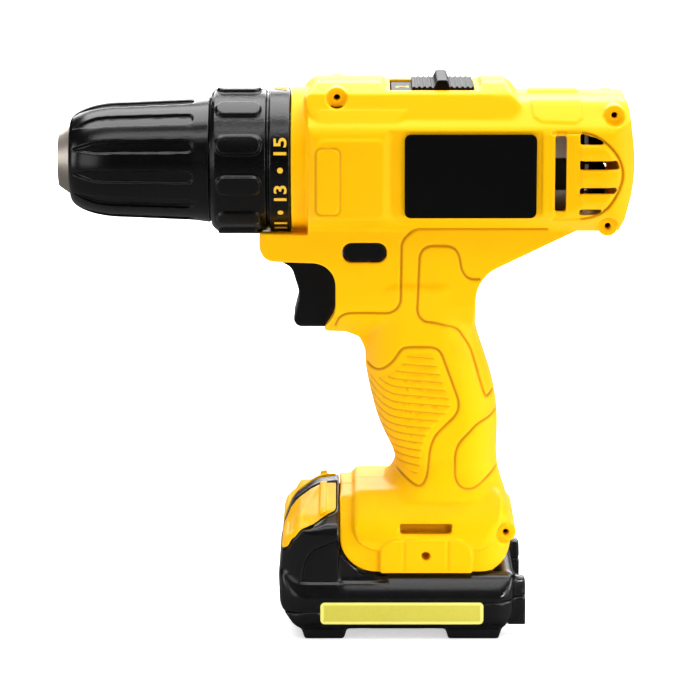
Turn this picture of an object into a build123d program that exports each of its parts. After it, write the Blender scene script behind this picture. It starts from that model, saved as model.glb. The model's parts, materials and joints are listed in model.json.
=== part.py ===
import os
from math import acos, cos, pi, radians, sin, sqrt, tan

from build123d import *

# Cordless drill, millimetres. +X is the rear of the tool, +Z is up, y = 0 is the parting plane.

# Spindle line and clamshell wall
AXIS_Z = 155.5
WALL = 2.3
FREE = 0.3

# Barrel
BARREL_FRONT = -12.0
BARREL_REAR = 94.0
BARREL_HALF = 26.5
BARREL_TOP = 177.0
BARREL_BOTTOM = 134.3
BARREL_CORNER = 12.0
NECK_FRONT = -17.45
NECK_R = 23.8
RECESS_DEPTH = 1.5
BLOCK_FACE = BARREL_HALF + 0.7
PAD_FACE = BLOCK_FACE + 0.7

# Ridge on top of the barrel, with the speed slide in it
RIDGE_FRONT = -13.0
RIDGE_REAR = 57.0
RIDGE_TOP = 182.2
RIDGE_HALF = 23.0
SADDLE_DEPTH = 1.8
SLIDE_FRONT = 14.9
SLIDE_REAR = 42.1
SLIDE_HALF = 12.8
STRIP_HALF = SLIDE_HALF + 1.8
SHIFT = 6.0

# Grip and foot
HEAD_HALF = 18.0
NOSE_FRONT = -28.0
NOSE_BOTTOM = 124.0
NOSE_TOP = 133.4
NOSE_HALF = 15.0
GRIP_HALF = 17.3
FOOT_TOP = 47.5
FOOT_BOTTOM = 22.3
FOOT_FRONT = -1.7
FOOT_REAR = 55.0
FOOT_HALF = 28.6
SKIRT_HALF = 27.6

# Trigger and lever
TRIGGER_HALF = 8.5
TRIGGER_LOW = 100.9
TRIGGER_TRAVEL = 6.0
LEVER_X = 6.5
LEVER_Z = 127.5
LEVER_LENGTH = 14.0
LEVER_HEIGHT = 6.0
LEVER_TRAVEL = 3.6

# Clamshell screws
SCREW_R = 1.4
BOSS_R = 3.4
BOSS_HALF = 20.75

# Chuck
CHUCK_NOSE = -94.0
SLEEVE_FRONT = -90.25
SLEEVE_REAR = -44.05
SLEEVE_R = 20.0
FLUTES = 12
BIT_R = 5.15
JAW_R = 2.3
JAW_TILT = 14.0
JAW_TIP = -84.0
JAW_TAIL = -58.0
JAW_TIP_RADIUS = 7.7

# Clutch collar
COLLAR_FRONT = -43.75
COLLAR_REAR = -17.75
COLLAR_R = 23.2
PAD_R = 24.4
PADS = 11
BAND_R = 23.8
CLUTCH_TRAVEL = 4.3

# Gears: three equal stages of sun, three planets and ring
MODULE = 0.65
SUN_TEETH = 18
PLANET_TEETH = 15
RING_TEETH = SUN_TEETH + 2 * PLANET_TEETH
PLANETS = 3
BACKLASH = 0.1
ORBIT = MODULE * (SUN_TEETH + PLANET_TEETH) / 2
CASE_BORE = 17.8
CASE_R = 19.5
SNOUT_R = 13.0
SPINDLE_R = 6.0
PIN_R = 1.6

# Motor
MOTOR_R = 17.3
MOTOR_FRONT = 21.0
MOTOR_REAR = 73.0
SHAFT_R = 1.6

# Battery
PACK_FRONT = -22.0
PACK_REAR = 56.0
PACK_HALF = 32.0
PACK_BOTTOM = 2.8
DECK_TOP = 22.0
TOWER_TOP = 47.0
TOWER_HALF = PACK_HALF - 1.6
CELL_R = 9.15
CELL_LENGTH = 61.0
RAIL_REAR = 48.4
RAIL_NECK = 17.5
RAIL_WING = 20.5
RAIL_TOP = 40.5
LATCH_TRAVEL = 2.0


# Small builders

def slab(x0, x1, y0, y1, z0, z1):
    return Pos((x0 + x1) / 2, (y0 + y1) / 2, (z0 + z1) / 2) * Box(x1 - x0, y1 - y0, z1 - z0)


def pair(x0, x1, y0, y1, z0, z1):
    return slab(x0, x1, y0, y1, z0, z1) + slab(x0, x1, -y1, -y0, z0, z1)


def rod_x(x0, x1, r, y=0.0, z=AXIS_Z):
    return Pos((x0 + x1) / 2, y, z) * Rot(0, 90, 0) * Cylinder(r, x1 - x0)


def tube_x(x0, x1, r_out, r_in):
    return rod_x(x0, x1, r_out) - rod_x(x0 - 1, x1 + 1, r_in)


def rod_y(x, z, y0, y1, r):
    return Pos(x, (y0 + y1) / 2, z) * Rot(90, 0, 0) * Cylinder(r, y1 - y0)


def rod_z(x, y, z0, z1, r):
    return Pos(x, y, (z0 + z1) / 2) * Cylinder(r, z1 - z0)


def outline(points):
    """Face inside a rounded polygon given as (across, up, corner radius)."""
    corners = [(p[0], p[1]) for p in points]
    radii = [p[2] for p in points]
    return make_face(FilletPolyline(*corners, radius=radii, close=True))


def grown(face, amount):
    if amount == 0:
        return face
    return offset(face, amount)


def across(face, half, inset=0.0):
    """Side view (x, z) carried to both sides of the parting plane."""
    return extrude(Plane.XZ * grown(face, -inset), half - inset, both=True)


def sideways(face, y0, y1):
    """Side view (x, z) carried from y0 to y1."""
    return extrude(Plane.XZ.offset(-y1) * face, y1 - y0)


def along(face, x0, x1, inset=0.0):
    """End view (y, z) carried from x0 to x1."""
    return extrude(Plane.YZ.offset(x0) * grown(face, -inset), x1 - x0)


def upward(face, z0, z1, inset=0.0):
    """Plan view (x, y) carried from z0 to z1."""
    return extrude(Plane.XY.offset(z0) * grown(face, -inset), z1 - z0)


def mirrored(points):
    """Closed outline from its right-hand half, listed from the bottom up."""
    return points + [(-p[0], p[1], p[2]) for p in reversed(points)]


def lathe(points):
    """Turned solid about the spindle line from (x, radius) points."""
    face = make_face(Polyline(*points, close=True))
    return Pos(0, 0, AXIS_Z) * revolve(Plane.XZ * face, Axis.X)


def around(solid, count, start=0.0):
    """Copies of a solid turned about the spindle line."""
    step = 360.0 / count
    return [turned(solid, start + i * step) for i in range(count)]


def turned(solid, degrees):
    return Pos(0, 0, AXIS_Z) * Rot(degrees, 0, 0) * Pos(0, 0, -AXIS_Z) * solid


def save(name, *solids):
    os.makedirs("parts", exist_ok=True)
    if len(solids) == 1:
        export_step(solids[0], f"parts/{name}.step")
    else:
        export_step(Compound(children=list(solids)), f"parts/{name}.step")


# Gear teeth

def tooth_half_angle(teeth, radius, ease):
    pitch = MODULE * teeth / 2
    base = pitch * cos(radians(20))
    at_pitch = tan(radians(20)) - radians(20)
    pressure = acos(min(1.0, base / max(radius, base)))
    here = tan(pressure) - pressure
    return pi / (2 * teeth) - ease / pitch + at_pitch - here


def gear_face(teeth, tip, root, ease, turn=0.0):
    """Gear outline with straight-sided teeth, one tooth centred on the angle turn."""
    points = []
    for i in range(teeth):
        middle = turn + 2 * pi * i / teeth
        root_half = tooth_half_angle(teeth, root, ease)
        tip_half = tooth_half_angle(teeth, tip, ease)
        for radius, angle in (
            (root, middle - root_half),
            (tip, middle - tip_half),
            (tip, middle + tip_half),
            (root, middle + root_half),
        ):
            points.append((radius * cos(angle), radius * sin(angle)))
    return make_face(Polyline(*points, close=True))


def outer_gear(teeth, x0, x1, turn=0.0):
    pitch = MODULE * teeth / 2
    face = gear_face(teeth, pitch + 0.8 * MODULE, pitch - 1.1 * MODULE, BACKLASH / 2, turn)
    return Pos(0, 0, AXIS_Z) * extrude(Plane.YZ.offset(x0) * face, x1 - x0)


def ring_of_teeth(x0, x1, r_out):
    pitch = MODULE * RING_TEETH / 2
    face = gear_face(RING_TEETH, pitch + 1.1 * MODULE, pitch - 0.8 * MODULE, -BACKLASH / 2)
    teeth = Pos(0, 0, AXIS_Z) * extrude(Plane.YZ.offset(x0 - 1) * face, x1 - x0 + 2)
    return rod_x(x0, x1, r_out) - teeth


def planet(x0, x1, number):
    gear = outer_gear(PLANET_TEETH, x0, x1, pi - pi / PLANET_TEETH)
    gear -= rod_x(x0 - 1, x1 + 1, PIN_R + 0.05)
    return turned(Pos(0, ORBIT, 0) * gear, number * 360.0 / PLANETS)


def planet_pins(x0, x1):
    return around(rod_x(x0, x1, PIN_R, ORBIT), PLANETS)


# Clamshell: the outer form, and the same form drawn in by the wall to hollow it

def barrel_form(inset):
    end_view = outline(mirrored([
        (17.0, BARREL_BOTTOM, 8.0),
        (BARREL_HALF, BARREL_BOTTOM + 7.2, 8.0),
        (BARREL_HALF, BARREL_TOP - 8.5, 7.0),
        (15.0, BARREL_TOP, 7.0),
    ]))
    plan = outline([
        (BARREL_FRONT, -BARREL_HALF, 3.0),
        (BARREL_REAR + 1, -BARREL_HALF, BARREL_CORNER),
        (BARREL_REAR + 1, BARREL_HALF, BARREL_CORNER),
        (BARREL_FRONT, BARREL_HALF, 3.0),
    ])
    side_view = outline([
        (BARREL_FRONT, BARREL_BOTTOM - 9, 0),
        (BARREL_REAR - 7.5, BARREL_BOTTOM - 9, 0),
        (BARREL_REAR + 0.95, AXIS_Z - 2, 45.0),
        (BARREL_REAR - 2.8, BARREL_TOP + 5, 0),
        (BARREL_FRONT, BARREL_TOP + 5, 0),
    ])
    solid = along(end_view, BARREL_FRONT - 5, BARREL_REAR + 5, inset)
    solid &= upward(plan, BARREL_BOTTOM - 5, BARREL_TOP + 5, inset)
    return solid & across(side_view, BARREL_HALF + 5, inset)


def ridge_form(inset):
    end_view = outline(mirrored([
        (RIDGE_HALF, AXIS_Z, 0),
        (RIDGE_HALF, RIDGE_TOP - 12.2, 2.0),
        (RIDGE_HALF - 5.6, RIDGE_TOP - 2.4, 1.5),
        (9.0, RIDGE_TOP, 6.0),
    ]))
    plan = outline([
        (RIDGE_FRONT, -RIDGE_HALF, 7.0),
        (RIDGE_REAR, -RIDGE_HALF, 7.0),
        (RIDGE_REAR, RIDGE_HALF, 7.0),
        (RIDGE_FRONT, RIDGE_HALF, 7.0),
    ])
    side_view = outline([
        (RIDGE_FRONT, AXIS_Z - 5, 0),
        (RIDGE_FRONT, RIDGE_TOP - 4, 0),
        (RIDGE_FRONT + 3.8, RIDGE_TOP, 1.2),
        (RIDGE_REAR - 4.4, RIDGE_TOP, 1.2),
        (RIDGE_REAR, RIDGE_TOP - 5.4, 0),
        (RIDGE_REAR, AXIS_Z - 5, 0),
    ])
    solid = along(end_view, RIDGE_FRONT - 5, RIDGE_REAR + 5, inset)
    solid &= upward(plan, AXIS_Z + 5 + inset, RIDGE_TOP + 5, inset)
    return solid & across(side_view, RIDGE_HALF + 5, inset)


def head_form(inset):
    """Head of the grip with the nose, narrow below the trigger and hollowed above for the collar."""
    side_view = outline([
        (BARREL_FRONT, BARREL_BOTTOM + 10, 0),
        (BARREL_FRONT, NOSE_TOP, 0),
        (NOSE_FRONT, NOSE_TOP, 0.6),
        (NOSE_FRONT, NOSE_BOTTOM, 5.0),
        (-3.0, NOSE_BOTTOM, 7.5),
        (-3.0, 107.0, 8.0),
        (-7.2, 100.4, 1.0),
        (-5.6, 99.6, 1.2),
        (0.0, 99.5, 5.0),
        (4.9, 97.4, 3.5),
        (7.0, 92.5, 0),
        (24.0, 93.0, 0),
        (43.0, 100.0, 0),
        (43.0, 119.0, 12.0),
        (76.0, 135.0, 0),
        (76.0, BARREL_BOTTOM + 10, 0),
    ])
    end_view = outline(mirrored([
        (8.5, 80.0, 0),
        (8.5, 98.9, 3.0),
        (HEAD_HALF, 106.5, 9.0),
        (HEAD_HALF, AXIS_Z, 0),
    ]))
    plan = outline([
        (NOSE_FRONT, -NOSE_HALF, 3.0),
        (BARREL_FRONT + 2, -HEAD_HALF, 8.0),
        (90.0, -HEAD_HALF, 0),
        (90.0, HEAD_HALF, 0),
        (BARREL_FRONT + 2, HEAD_HALF, 8.0),
        (NOSE_FRONT, NOSE_HALF, 3.0),
    ])
    solid = across(side_view, HEAD_HALF, inset)
    solid &= along(end_view, NOSE_FRONT - 5, 90, inset)
    solid &= upward(plan, 80, AXIS_Z, inset)
    return solid - rod_x(COLLAR_FRONT, COLLAR_REAR + 0.2 + inset, PAD_R + 0.35 + inset)


GRIP_SECTIONS = [
    (118.0, 8.0, 43.6, 1.0),
    (106.0, 7.2, 43.0, 1.0),
    (94.0, 6.9, 45.2, 1.0),
    (84.0, 7.5, 48.5, 0.99),
    (74.0, 9.8, 50.5, 0.98),
    (64.0, 13.6, 50.7, 0.98),
    (55.0, 16.9, 50.8, 1.0),
    (49.5, 14.8, 51.8, 1.11),
    (44.5, 10.5, 53.0, 1.32),
]


def grip_form(inset):
    """Oval handle lofted through plan sections (z, front x, rear x, width share)."""
    faces = []
    for height, front, rear, share in GRIP_SECTIONS:
        length = rear - front - 2 * inset
        width = 2 * GRIP_HALF * share - 2 * inset
        section = RectangleRounded(length, width, 0.36 * width)
        faces.append(Pos((front + rear) / 2, 0, height) * section)
    return loft(faces)


def skirt_form():
    side_view = outline([
        (FOOT_FRONT, FOOT_TOP - 2, 1.2),
        (FOOT_FRONT, FOOT_BOTTOM, 12.0),
        (FOOT_REAR - 1, FOOT_BOTTOM, 9.0),
        (FOOT_REAR + 0.4, FOOT_BOTTOM + 14, 2.0),
        (FOOT_REAR - 2.4, FOOT_TOP - 2, 3.0),
    ])
    return across(side_view, SKIRT_HALF) & foot_limit(SKIRT_HALF, FOOT_TOP - 2)


def foot_limit(half, top, inset=0.0):
    """Sloping shoulders and round rear corners shared by the foot, its skirt and its hollow."""
    end_view = outline(mirrored([
        (half, FOOT_BOTTOM - 10, 0),
        (half, top - 9.4, 13.0),
        (half - 12.0, top + 0.15, 6.0),
    ]))
    plan = outline([
        (FOOT_FRONT - 10, -half, 0),
        (FOOT_REAR + 0.4, -half, 12.0),
        (FOOT_REAR + 0.4, half, 12.0),
        (FOOT_FRONT - 10, half, 0),
    ])
    solid = along(end_view, FOOT_FRONT - 10, FOOT_REAR + 5, inset)
    return solid & upward(plan, FOOT_BOTTOM - 10, FOOT_TOP + 5, inset)


def foot_form():
    side_view = outline([
        (FOOT_FRONT + 4.6, FOOT_TOP, 1.2),
        (FOOT_FRONT + 4.6, FOOT_BOTTOM + 7.6, 8.0),
        (FOOT_REAR - 5, FOOT_BOTTOM + 7.6, 8.0),
        (FOOT_REAR - 2.4, FOOT_TOP, 3.0),
    ])
    return across(side_view, FOOT_HALF) & foot_limit(FOOT_HALF, FOOT_TOP)


def foot_hollow():
    side_view = outline([
        (FOOT_FRONT - 8, FOOT_BOTTOM - 8, 0),
        (FOOT_FRONT - 8, FOOT_TOP - 2 - WALL, 0),
        (FOOT_FRONT + 4.6 + WALL, FOOT_TOP - 2 - WALL, 0),
        (FOOT_FRONT + 4.6 + WALL, FOOT_TOP - WALL, 0),
        (FOOT_REAR - 4.8, FOOT_TOP - WALL, 0),
        (FOOT_REAR - 2.0, FOOT_BOTTOM + 14, 0),
        (FOOT_REAR - 2.6, FOOT_BOTTOM - 8, 0),
    ])
    return across(side_view, SKIRT_HALF - WALL) & foot_limit(SKIRT_HALF, FOOT_TOP - 2, WALL)


# Clamshell screws (x, z, half length of the boss, hole shows on the left)
SCREW_POINTS = [
    (-2.5, RIDGE_TOP - 3.7, 16.6, True),
    (87.1, 173.3, BOSS_HALF, True),
    (85.5, 137.0, BOSS_HALF, True),
    (53.3, 34.1, BOSS_HALF + 0.2, True),
    (41.5, 68.0, 13.0, False),
]


def side_block(side):
    """Raised block behind the collar, sloping down to the sunk panel and to the shoulder."""
    slope = 1.4 * (BLOCK_FACE - BARREL_HALF + 6)
    face = outline([
        (-9.9, AXIS_Z - 15.2, 2.0), (12.4, AXIS_Z - 15.2, 2.0),
        (12.4, AXIS_Z + 9.9, 2.0), (-9.9, AXIS_Z + 9.9, 4.0),
    ])
    base = outline([
        (BARREL_FRONT + 0.1, AXIS_Z - 18.7, 2.0), (12.4 + slope, AXIS_Z - 18.7, 2.0),
        (12.4 + slope, AXIS_Z + 9.9 + slope, 2.0), (BARREL_FRONT + 0.1, AXIS_Z + 9.9 + slope, 4.0),
    ])
    block = loft([
        Plane.XZ.offset(-side * (BARREL_HALF - 6)) * base,
        Plane.XZ.offset(-side * BLOCK_FACE) * face,
    ])
    return block - barrel_form(1.0)


def vent_cuts():
    """Side vents: one upright slot, then the gaps between three fins in a D shape."""
    slot = outline([
        (68.0, AXIS_Z - 12.9, 0.5),
        (71.5, AXIS_Z - 12.9, 0.5),
        (71.5, AXIS_Z + 11.6, 0.5),
        (68.0, AXIS_Z + 11.6, 0.5),
    ])
    d_shape = outline([
        (75.9, AXIS_Z - 15.4, 0.5),
        (82.0, AXIS_Z - 14.4, 5.0),
        (89.0, AXIS_Z - 4.5, 6.0),
        (88.6, AXIS_Z + 2.5, 6.0),
        (82.8, AXIS_Z + 10.6, 5.0),
        (75.9, AXIS_Z + 12.6, 0.5),
    ])
    cuts = [across(slot, BARREL_HALF + 2)]
    for low, high in ((-14.1, -12.2), (-7.4, -5.1), (0.7, 4.1), (8.9, 12.5)):
        band = slab(70, 92, -BARREL_HALF - 2, BARREL_HALF + 2, AXIS_Z + low, AXIS_Z + high)
        cuts.append(across(d_shape, BARREL_HALF + 2) & band)
    core = slab(60, 100, -14, 14, AXIS_Z - 30, AXIS_Z + 30)
    return [cut - core for cut in cuts]


def support_rib(x, radius):
    """Cross wall that seats a round unit from the sides and above, open below for the leads."""
    rib = barrel_form(WALL - 0.6) & slab(x, x + 2, -40, 40, BARREL_BOTTOM - 5, BARREL_TOP + 5)
    rib -= rod_x(x - 1, x + 3, radius + 0.1)
    return rib - slab(x - 1, x + 3, -18, 18, BARREL_BOTTOM - 5, AXIS_Z - 8)


def clamshell():
    shell = barrel_form(0) + ridge_form(0) + head_form(0)
    shell += rod_x(NECK_FRONT, BARREL_FRONT + 10, NECK_R)
    shell += grip_form(0)
    shell += skirt_form()
    shell += foot_form()
    hollow = barrel_form(WALL) + ridge_form(WALL) + head_form(WALL)
    hollow += rod_x(NECK_FRONT - 3, BARREL_FRONT + 10, NECK_R - WALL)
    hollow += grip_form(WALL)
    hollow += foot_hollow()
    # Way for the leads from the grip down into the foot
    hollow += slab(24, 47, -9, 9, FOOT_TOP - 6, FOOT_TOP)
    # Room for the switch
    hollow += slab(8.3, 38.3, -10.7, 10.7, 101.5, 121.9)
    shell -= hollow
    for x, radius in ((3.0, CASE_R), (13.0, CASE_R), (32.0, MOTOR_R), (60.0, MOTOR_R)):
        shell += support_rib(x, radius)
    for x, z, half, shown in SCREW_POINTS:
        shell += rod_y(x, z, -half - (0 if shown else 2), half, BOSS_R)
    # Pads that hold the switch and the terminal block, and the rails that carry the battery
    shell += pair(12, 32, 10.8, HEAD_HALF - WALL + 0.5, 108, 118)
    shell += pair(49.4, 51.4, 16.2, SKIRT_HALF - 4.4, 27, 35)
    shell += pair(4, 49, RAIL_NECK + 0.5, SKIRT_HALF - WALL + 0.5, FOOT_BOTTOM, FOOT_BOTTOM + 4.7)
    # Raised block behind the collar with a pad in a groove, and raised pad for the belt hook
    collar_pad = outline([
        (-9.0, AXIS_Z - 13.5, 2.2), (-1.7, AXIS_Z - 13.5, 2.2),
        (-1.7, AXIS_Z + 7.6, 2.2), (-9.0, AXIS_Z + 7.6, 2.2),
    ])
    for side in (-1, 1):
        shell += side_block(side)
        groove = grown(collar_pad, 0.6)
        shell -= sideways(groove, *sorted((side * (BLOCK_FACE - 0.5), side * (BLOCK_FACE + 1))))
        shell += sideways(collar_pad, *sorted((side * (BLOCK_FACE - 1), side * PAD_FACE)))
    hook_pad = outline([
        (11.7, FOOT_BOTTOM, 0.5), (42.0, FOOT_BOTTOM, 0.5),
        (42.0, FOOT_BOTTOM + 11.3, 5.5), (11.7, FOOT_BOTTOM + 11.3, 5.5),
    ])
    shell += sideways(hook_pad, SKIRT_HALF - 1, HOOK_FACE)
    shell += sideways(hook_pad, -HOOK_FACE, 1 - SKIRT_HALF)
    shell += pair(HOOK_X - 4, HOOK_X + 4, HOOK_FACE - HOOK_DEPTH - 1, SKIRT_HALF, FOOT_BOTTOM, HOOK_Z + 4)
    shell += pair(16.4, 37.0, HOOK_SLOT - 1.8, SKIRT_HALF - 1.8, FOOT_BOTTOM + 11.4, FOOT_BOTTOM + 17.4)
    return shell


def panel_cuts():
    """Sunk panel on each flank for the dark plate, up to the slope of the raised block."""
    panel = outline([
        (13.2, AXIS_Z - 15.2, 2.0), (74.0, AXIS_Z - 15.2, 2.0),
        (74.0, AXIS_Z + 13.2, 2.0), (13.2, AXIS_Z + 13.2, 2.0),
    ])
    near = BARREL_HALF - RECESS_DEPTH
    strip = pair(63.9, 67.9, near - 1, near + 1, AXIS_Z - 20, AXIS_Z + 20)
    strip += pair(71.6, 75.0, near - 1, near + 1, AXIS_Z - 20, AXIS_Z + 20)
    cuts = []
    for side in (-1, 1):
        sunk = sideways(panel, *sorted((side * near, side * (near + 5))))
        cuts.append(sunk - strip - side_block(side))
    return cuts


def finished_shell():
    shell = clamshell()
    for cut in panel_cuts() + vent_cuts():
        shell -= cut
    # Saddle and window of the speed slide
    saddle = outline([
        (SLIDE_FRONT - 1.4, RIDGE_TOP - SADDLE_DEPTH, 0.5),
        (SLIDE_REAR + 1.4, RIDGE_TOP - SADDLE_DEPTH, 0.5),
        (SLIDE_REAR + 7.0, RIDGE_TOP + 5, 0),
        (SLIDE_FRONT - 7.0, RIDGE_TOP + 5, 0),
    ])
    shell -= across(saddle, RIDGE_HALF + 5)
    shell -= slab(SLIDE_FRONT, SLIDE_REAR, -SLIDE_HALF, SLIDE_HALF, RIDGE_TOP - 6, RIDGE_TOP + 5)
    # Trigger mouth, lever hole, lamp hole
    mouth_half = TRIGGER_HALF + 0.4
    shell -= slab(-15, 11, -mouth_half, mouth_half, TRIGGER_LOW - 0.4, NOSE_BOTTOM)
    lever = outline([
        (LEVER_X - LEVER_LENGTH / 2 - FREE, LEVER_Z - LEVER_HEIGHT / 2 - FREE, 3.0),
        (LEVER_X + LEVER_LENGTH / 2 + FREE, LEVER_Z - LEVER_HEIGHT / 2 - FREE, 3.0),
        (LEVER_X + LEVER_LENGTH / 2 + FREE, LEVER_Z + LEVER_HEIGHT / 2 + FREE, 3.0),
        (LEVER_X - LEVER_LENGTH / 2 - FREE, LEVER_Z + LEVER_HEIGHT / 2 + FREE, 3.0),
    ])
    shell -= across(lever, HEAD_HALF + 5)
    shell -= rod_x(NOSE_FRONT - 1, NOSE_FRONT + 5.5, 2.5, 0, LED_Z)
    # Room under the ridge for the slide strip and its wire
    pocket_half = STRIP_HALF + 0.6
    pocket_front = SLIDE_FRONT - SHIFT - 8.4
    shell -= slab(pocket_front, 54, -pocket_half, pocket_half, RIDGE_TOP - 7.5, RIDGE_TOP - 3.3)
    plate_room = RIDGE_TOP - 2.45
    shell -= slab(SLIDE_FRONT - 6.4, SLIDE_FRONT + 1, -SLIDE_HALF, SLIDE_HALF, RIDGE_TOP - 4, plate_room)
    # Spot faces, screw holes and head pockets
    for x, z, half, shown in SCREW_POINTS:
        shell -= rod_y(x, z, half, half + 14, BOSS_R)
        shell -= rod_y(x, z, -half + 4, half - 3, SCREW_R + 0.1)
        shell -= rod_y(x, z, half - 3.2, half + 1, 2.9)
        if shown:
            shell -= rod_y(x, z, -half - 14, -half, BOSS_R)
            shell -= rod_y(x, z, -half - 1, -half + 5, 1.05)
    # Belt hook: a slot and a blind screw hole on each side
    shell -= pair(18.2, 35.2, HOOK_SLOT, SKIRT_HALF + 5, FOOT_BOTTOM + 12.8, FOOT_BOTTOM + 16.0)
    for side in (-1, 1):
        middle = side * (HOOK_FACE - HOOK_DEPTH + 10)
        shell -= rod_y(HOOK_X, HOOK_Z, middle - 10, middle + 10, HOOK_R)
    return shell


LED_Z = NOSE_BOTTOM + 3.4
HOOK_X = 26.7
HOOK_Z = FOOT_BOTTOM + 5.8
HOOK_R = 1.45
HOOK_FACE = SKIRT_HALF + 1.8
HOOK_DEPTH = 6.6
HOOK_SLOT = SKIRT_HALF - 3.6


def halves(solid):
    left = split(solid, Plane.XZ, Keep.TOP)
    right = split(solid, Plane.XZ, Keep.BOTTOM)
    return left, right


left_housing, right_housing = halves(finished_shell())
save("left_housing", left_housing)
save("right_housing", right_housing)


def clamshell_screw(x, z, half):
    return rod_y(x, z, half - 3.2, half - 1.0, 2.7) + rod_y(x, z, -half + 5, half - 3.1, SCREW_R)


save("housing_screws", *[clamshell_screw(x, z, half) for x, z, half, shown in SCREW_POINTS])

# Dark plates in the sunk panels

plate_view = outline([
    (19.4, AXIS_Z - 15.0, 2.0), (62.0, AXIS_Z - 15.0, 2.0),
    (62.0, AXIS_Z + 12.2, 2.0), (19.4, AXIS_Z + 12.2, 2.0),
])
plate_face = BARREL_HALF - RECESS_DEPTH
save(
    "label_plates",
    sideways(plate_view, plate_face, plate_face + 1.1),
    sideways(plate_view, -plate_face - 1.1, -plate_face),
)

# Speed slide: a strip under the ridge, the ribbed button in the window, and the wire to the shift ring

STRIP_Z = RIDGE_TOP - 4.9
WIRE_Z = STRIP_Z - 1.3
WIRE_R = 0.8
WIRE_FRONT = 7.5
WIRE_REAR = 30.0
RING_GROOVE_R = 16.9
button_half = SLIDE_HALF - FREE
selector = slab(SLIDE_FRONT - 6.4, SLIDE_REAR + 8.4, -STRIP_HALF, STRIP_HALF, STRIP_Z, STRIP_Z + 1.3)
plate_top = RIDGE_TOP - 2.6
button_top = RIDGE_TOP - 0.9
selector += slab(SLIDE_FRONT + 0.3, SLIDE_REAR - 20, -button_half, button_half, STRIP_Z + 1, plate_top)
selector += slab(SLIDE_REAR - 20.2, SLIDE_REAR - 0.3, -button_half, button_half, STRIP_Z + 1, button_top)
bar_view = outline([
    (28.7, RIDGE_TOP - 2, 0), (34.5, RIDGE_TOP - 2, 0),
    (33.4, RIDGE_TOP + 1.4, 0.8), (30.1, RIDGE_TOP + 1.4, 0.8),
])
selector += across(bar_view, button_half)
save("speed_selector", selector)
wire = rod_x(WIRE_FRONT, WIRE_REAR, WIRE_R, 0, WIRE_Z)
wire += Pos(WIRE_FRONT, 0, WIRE_Z) * Sphere(WIRE_R)
wire += rod_z(WIRE_FRONT, 0, AXIS_Z + RING_GROOVE_R + 0.25, WIRE_Z, WIRE_R)
wire += rod_z(WIRE_REAR - WIRE_R, 0, WIRE_Z, STRIP_Z, WIRE_R)
save("shift_wire", wire)

# Trigger, switch, direction lever and lamp

TRIGGER_TOP = NOSE_BOTTOM - 0.35
PLUNGER_Z = 113.0
PLUNGER_R = 2.6
trigger_view = outline([
    (-22.6, TRIGGER_TOP, 0.3),
    (-17.4, TRIGGER_TOP - 3.0, 4.0),
    (-14.8, 112.0, 8.0),
    (-17.6, TRIGGER_LOW, 2.7),
    (1.0, TRIGGER_LOW, 0.8),
    (1.0, TRIGGER_TOP, 0.8),
])
save("trigger", across(trigger_view, TRIGGER_HALF) + rod_x(0.5, 14.0, PLUNGER_R, 0, PLUNGER_Z))
switch = slab(8.6, 38.0, -10.4, 10.4, 101.8, 121.6)
switch -= rod_x(8.0, 15.5 + TRIGGER_TRAVEL, PLUNGER_R + 0.35, 0, PLUNGER_Z)
save("switch_module", switch)
lever_view = SlotOverall(LEVER_LENGTH, LEVER_HEIGHT)
lever_start = LEVER_TRAVEL - HEAD_HALF - 2.2
save("direction_lever", sideways(Pos(LEVER_X, LEVER_Z) * lever_view, lever_start, HEAD_HALF + 2.2))
save("led_lens", rod_x(NOSE_FRONT - 0.3, NOSE_FRONT + 5, 2.3, 0, LED_Z))

# Terminals in the foot, and the leads

BLADE_Y = 13.0
terminal_block = slab(48.9, 51.9, -16, 16, 26, 38.4)
terminal_block -= rod_y(53.3, 34.1, -20, 20, BOSS_R + 0.1)
save("terminal_block", terminal_block)
save(
    "terminal_blades",
    slab(36, 48.9, BLADE_Y - 0.4, BLADE_Y + 0.4, 28, 36),
    slab(36, 48.9, -BLADE_Y - 0.4, -BLADE_Y + 0.4, 28, 36),
)


def lead(points, radius, bend):
    path = FilletPolyline(*points, radius=bend)
    end = Plane(origin=path @ 0, z_dir=path % 0)
    return sweep(end * Circle(radius), path)


leads = []
for side in (-1, 1):
    leads.append(lead([
        (49.6, side * 6, 38.4), (49.6, side * 6, 42.05), (43, side * 6, 42.05),
        (36, side * 6, 56), (28, side * 6, 85), (26, side * 6, 101.7),
    ], 0.85, 1.5))
    leads.append(lead([
        (35, side * 8, 121.7), (35, side * 8, 127.5), (45, side * 14.3, 140.5),
        (75.5, side * 14.3, 140.5), (75.5, side * 14.3, 144.7),
    ], 0.85, 2.5))
save("wiring", *leads)

# Gear case, plate and bearing

case = rod_x(-17.5, 18.3, CASE_R) - rod_x(-14.8, 19.3, CASE_BORE)
case += rod_x(-43.2, -17.0, SNOUT_R)
case -= rod_x(-44, -14, 9.5)
case -= slab(0.0, 9.2, -1.7, 1.7, AXIS_Z + 10, AXIS_Z + 25)
for hole in around(rod_x(-18, -14, 1.35, 15.2), 6):
    case -= hole
save("gear_case", case)
save("motor_plate", tube_x(18.3, MOTOR_FRONT, CASE_R, 7.5))
save("spindle_bearing", tube_x(-41, -29, 9.48, SPINDLE_R + 0.04))

# Gear train

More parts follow.
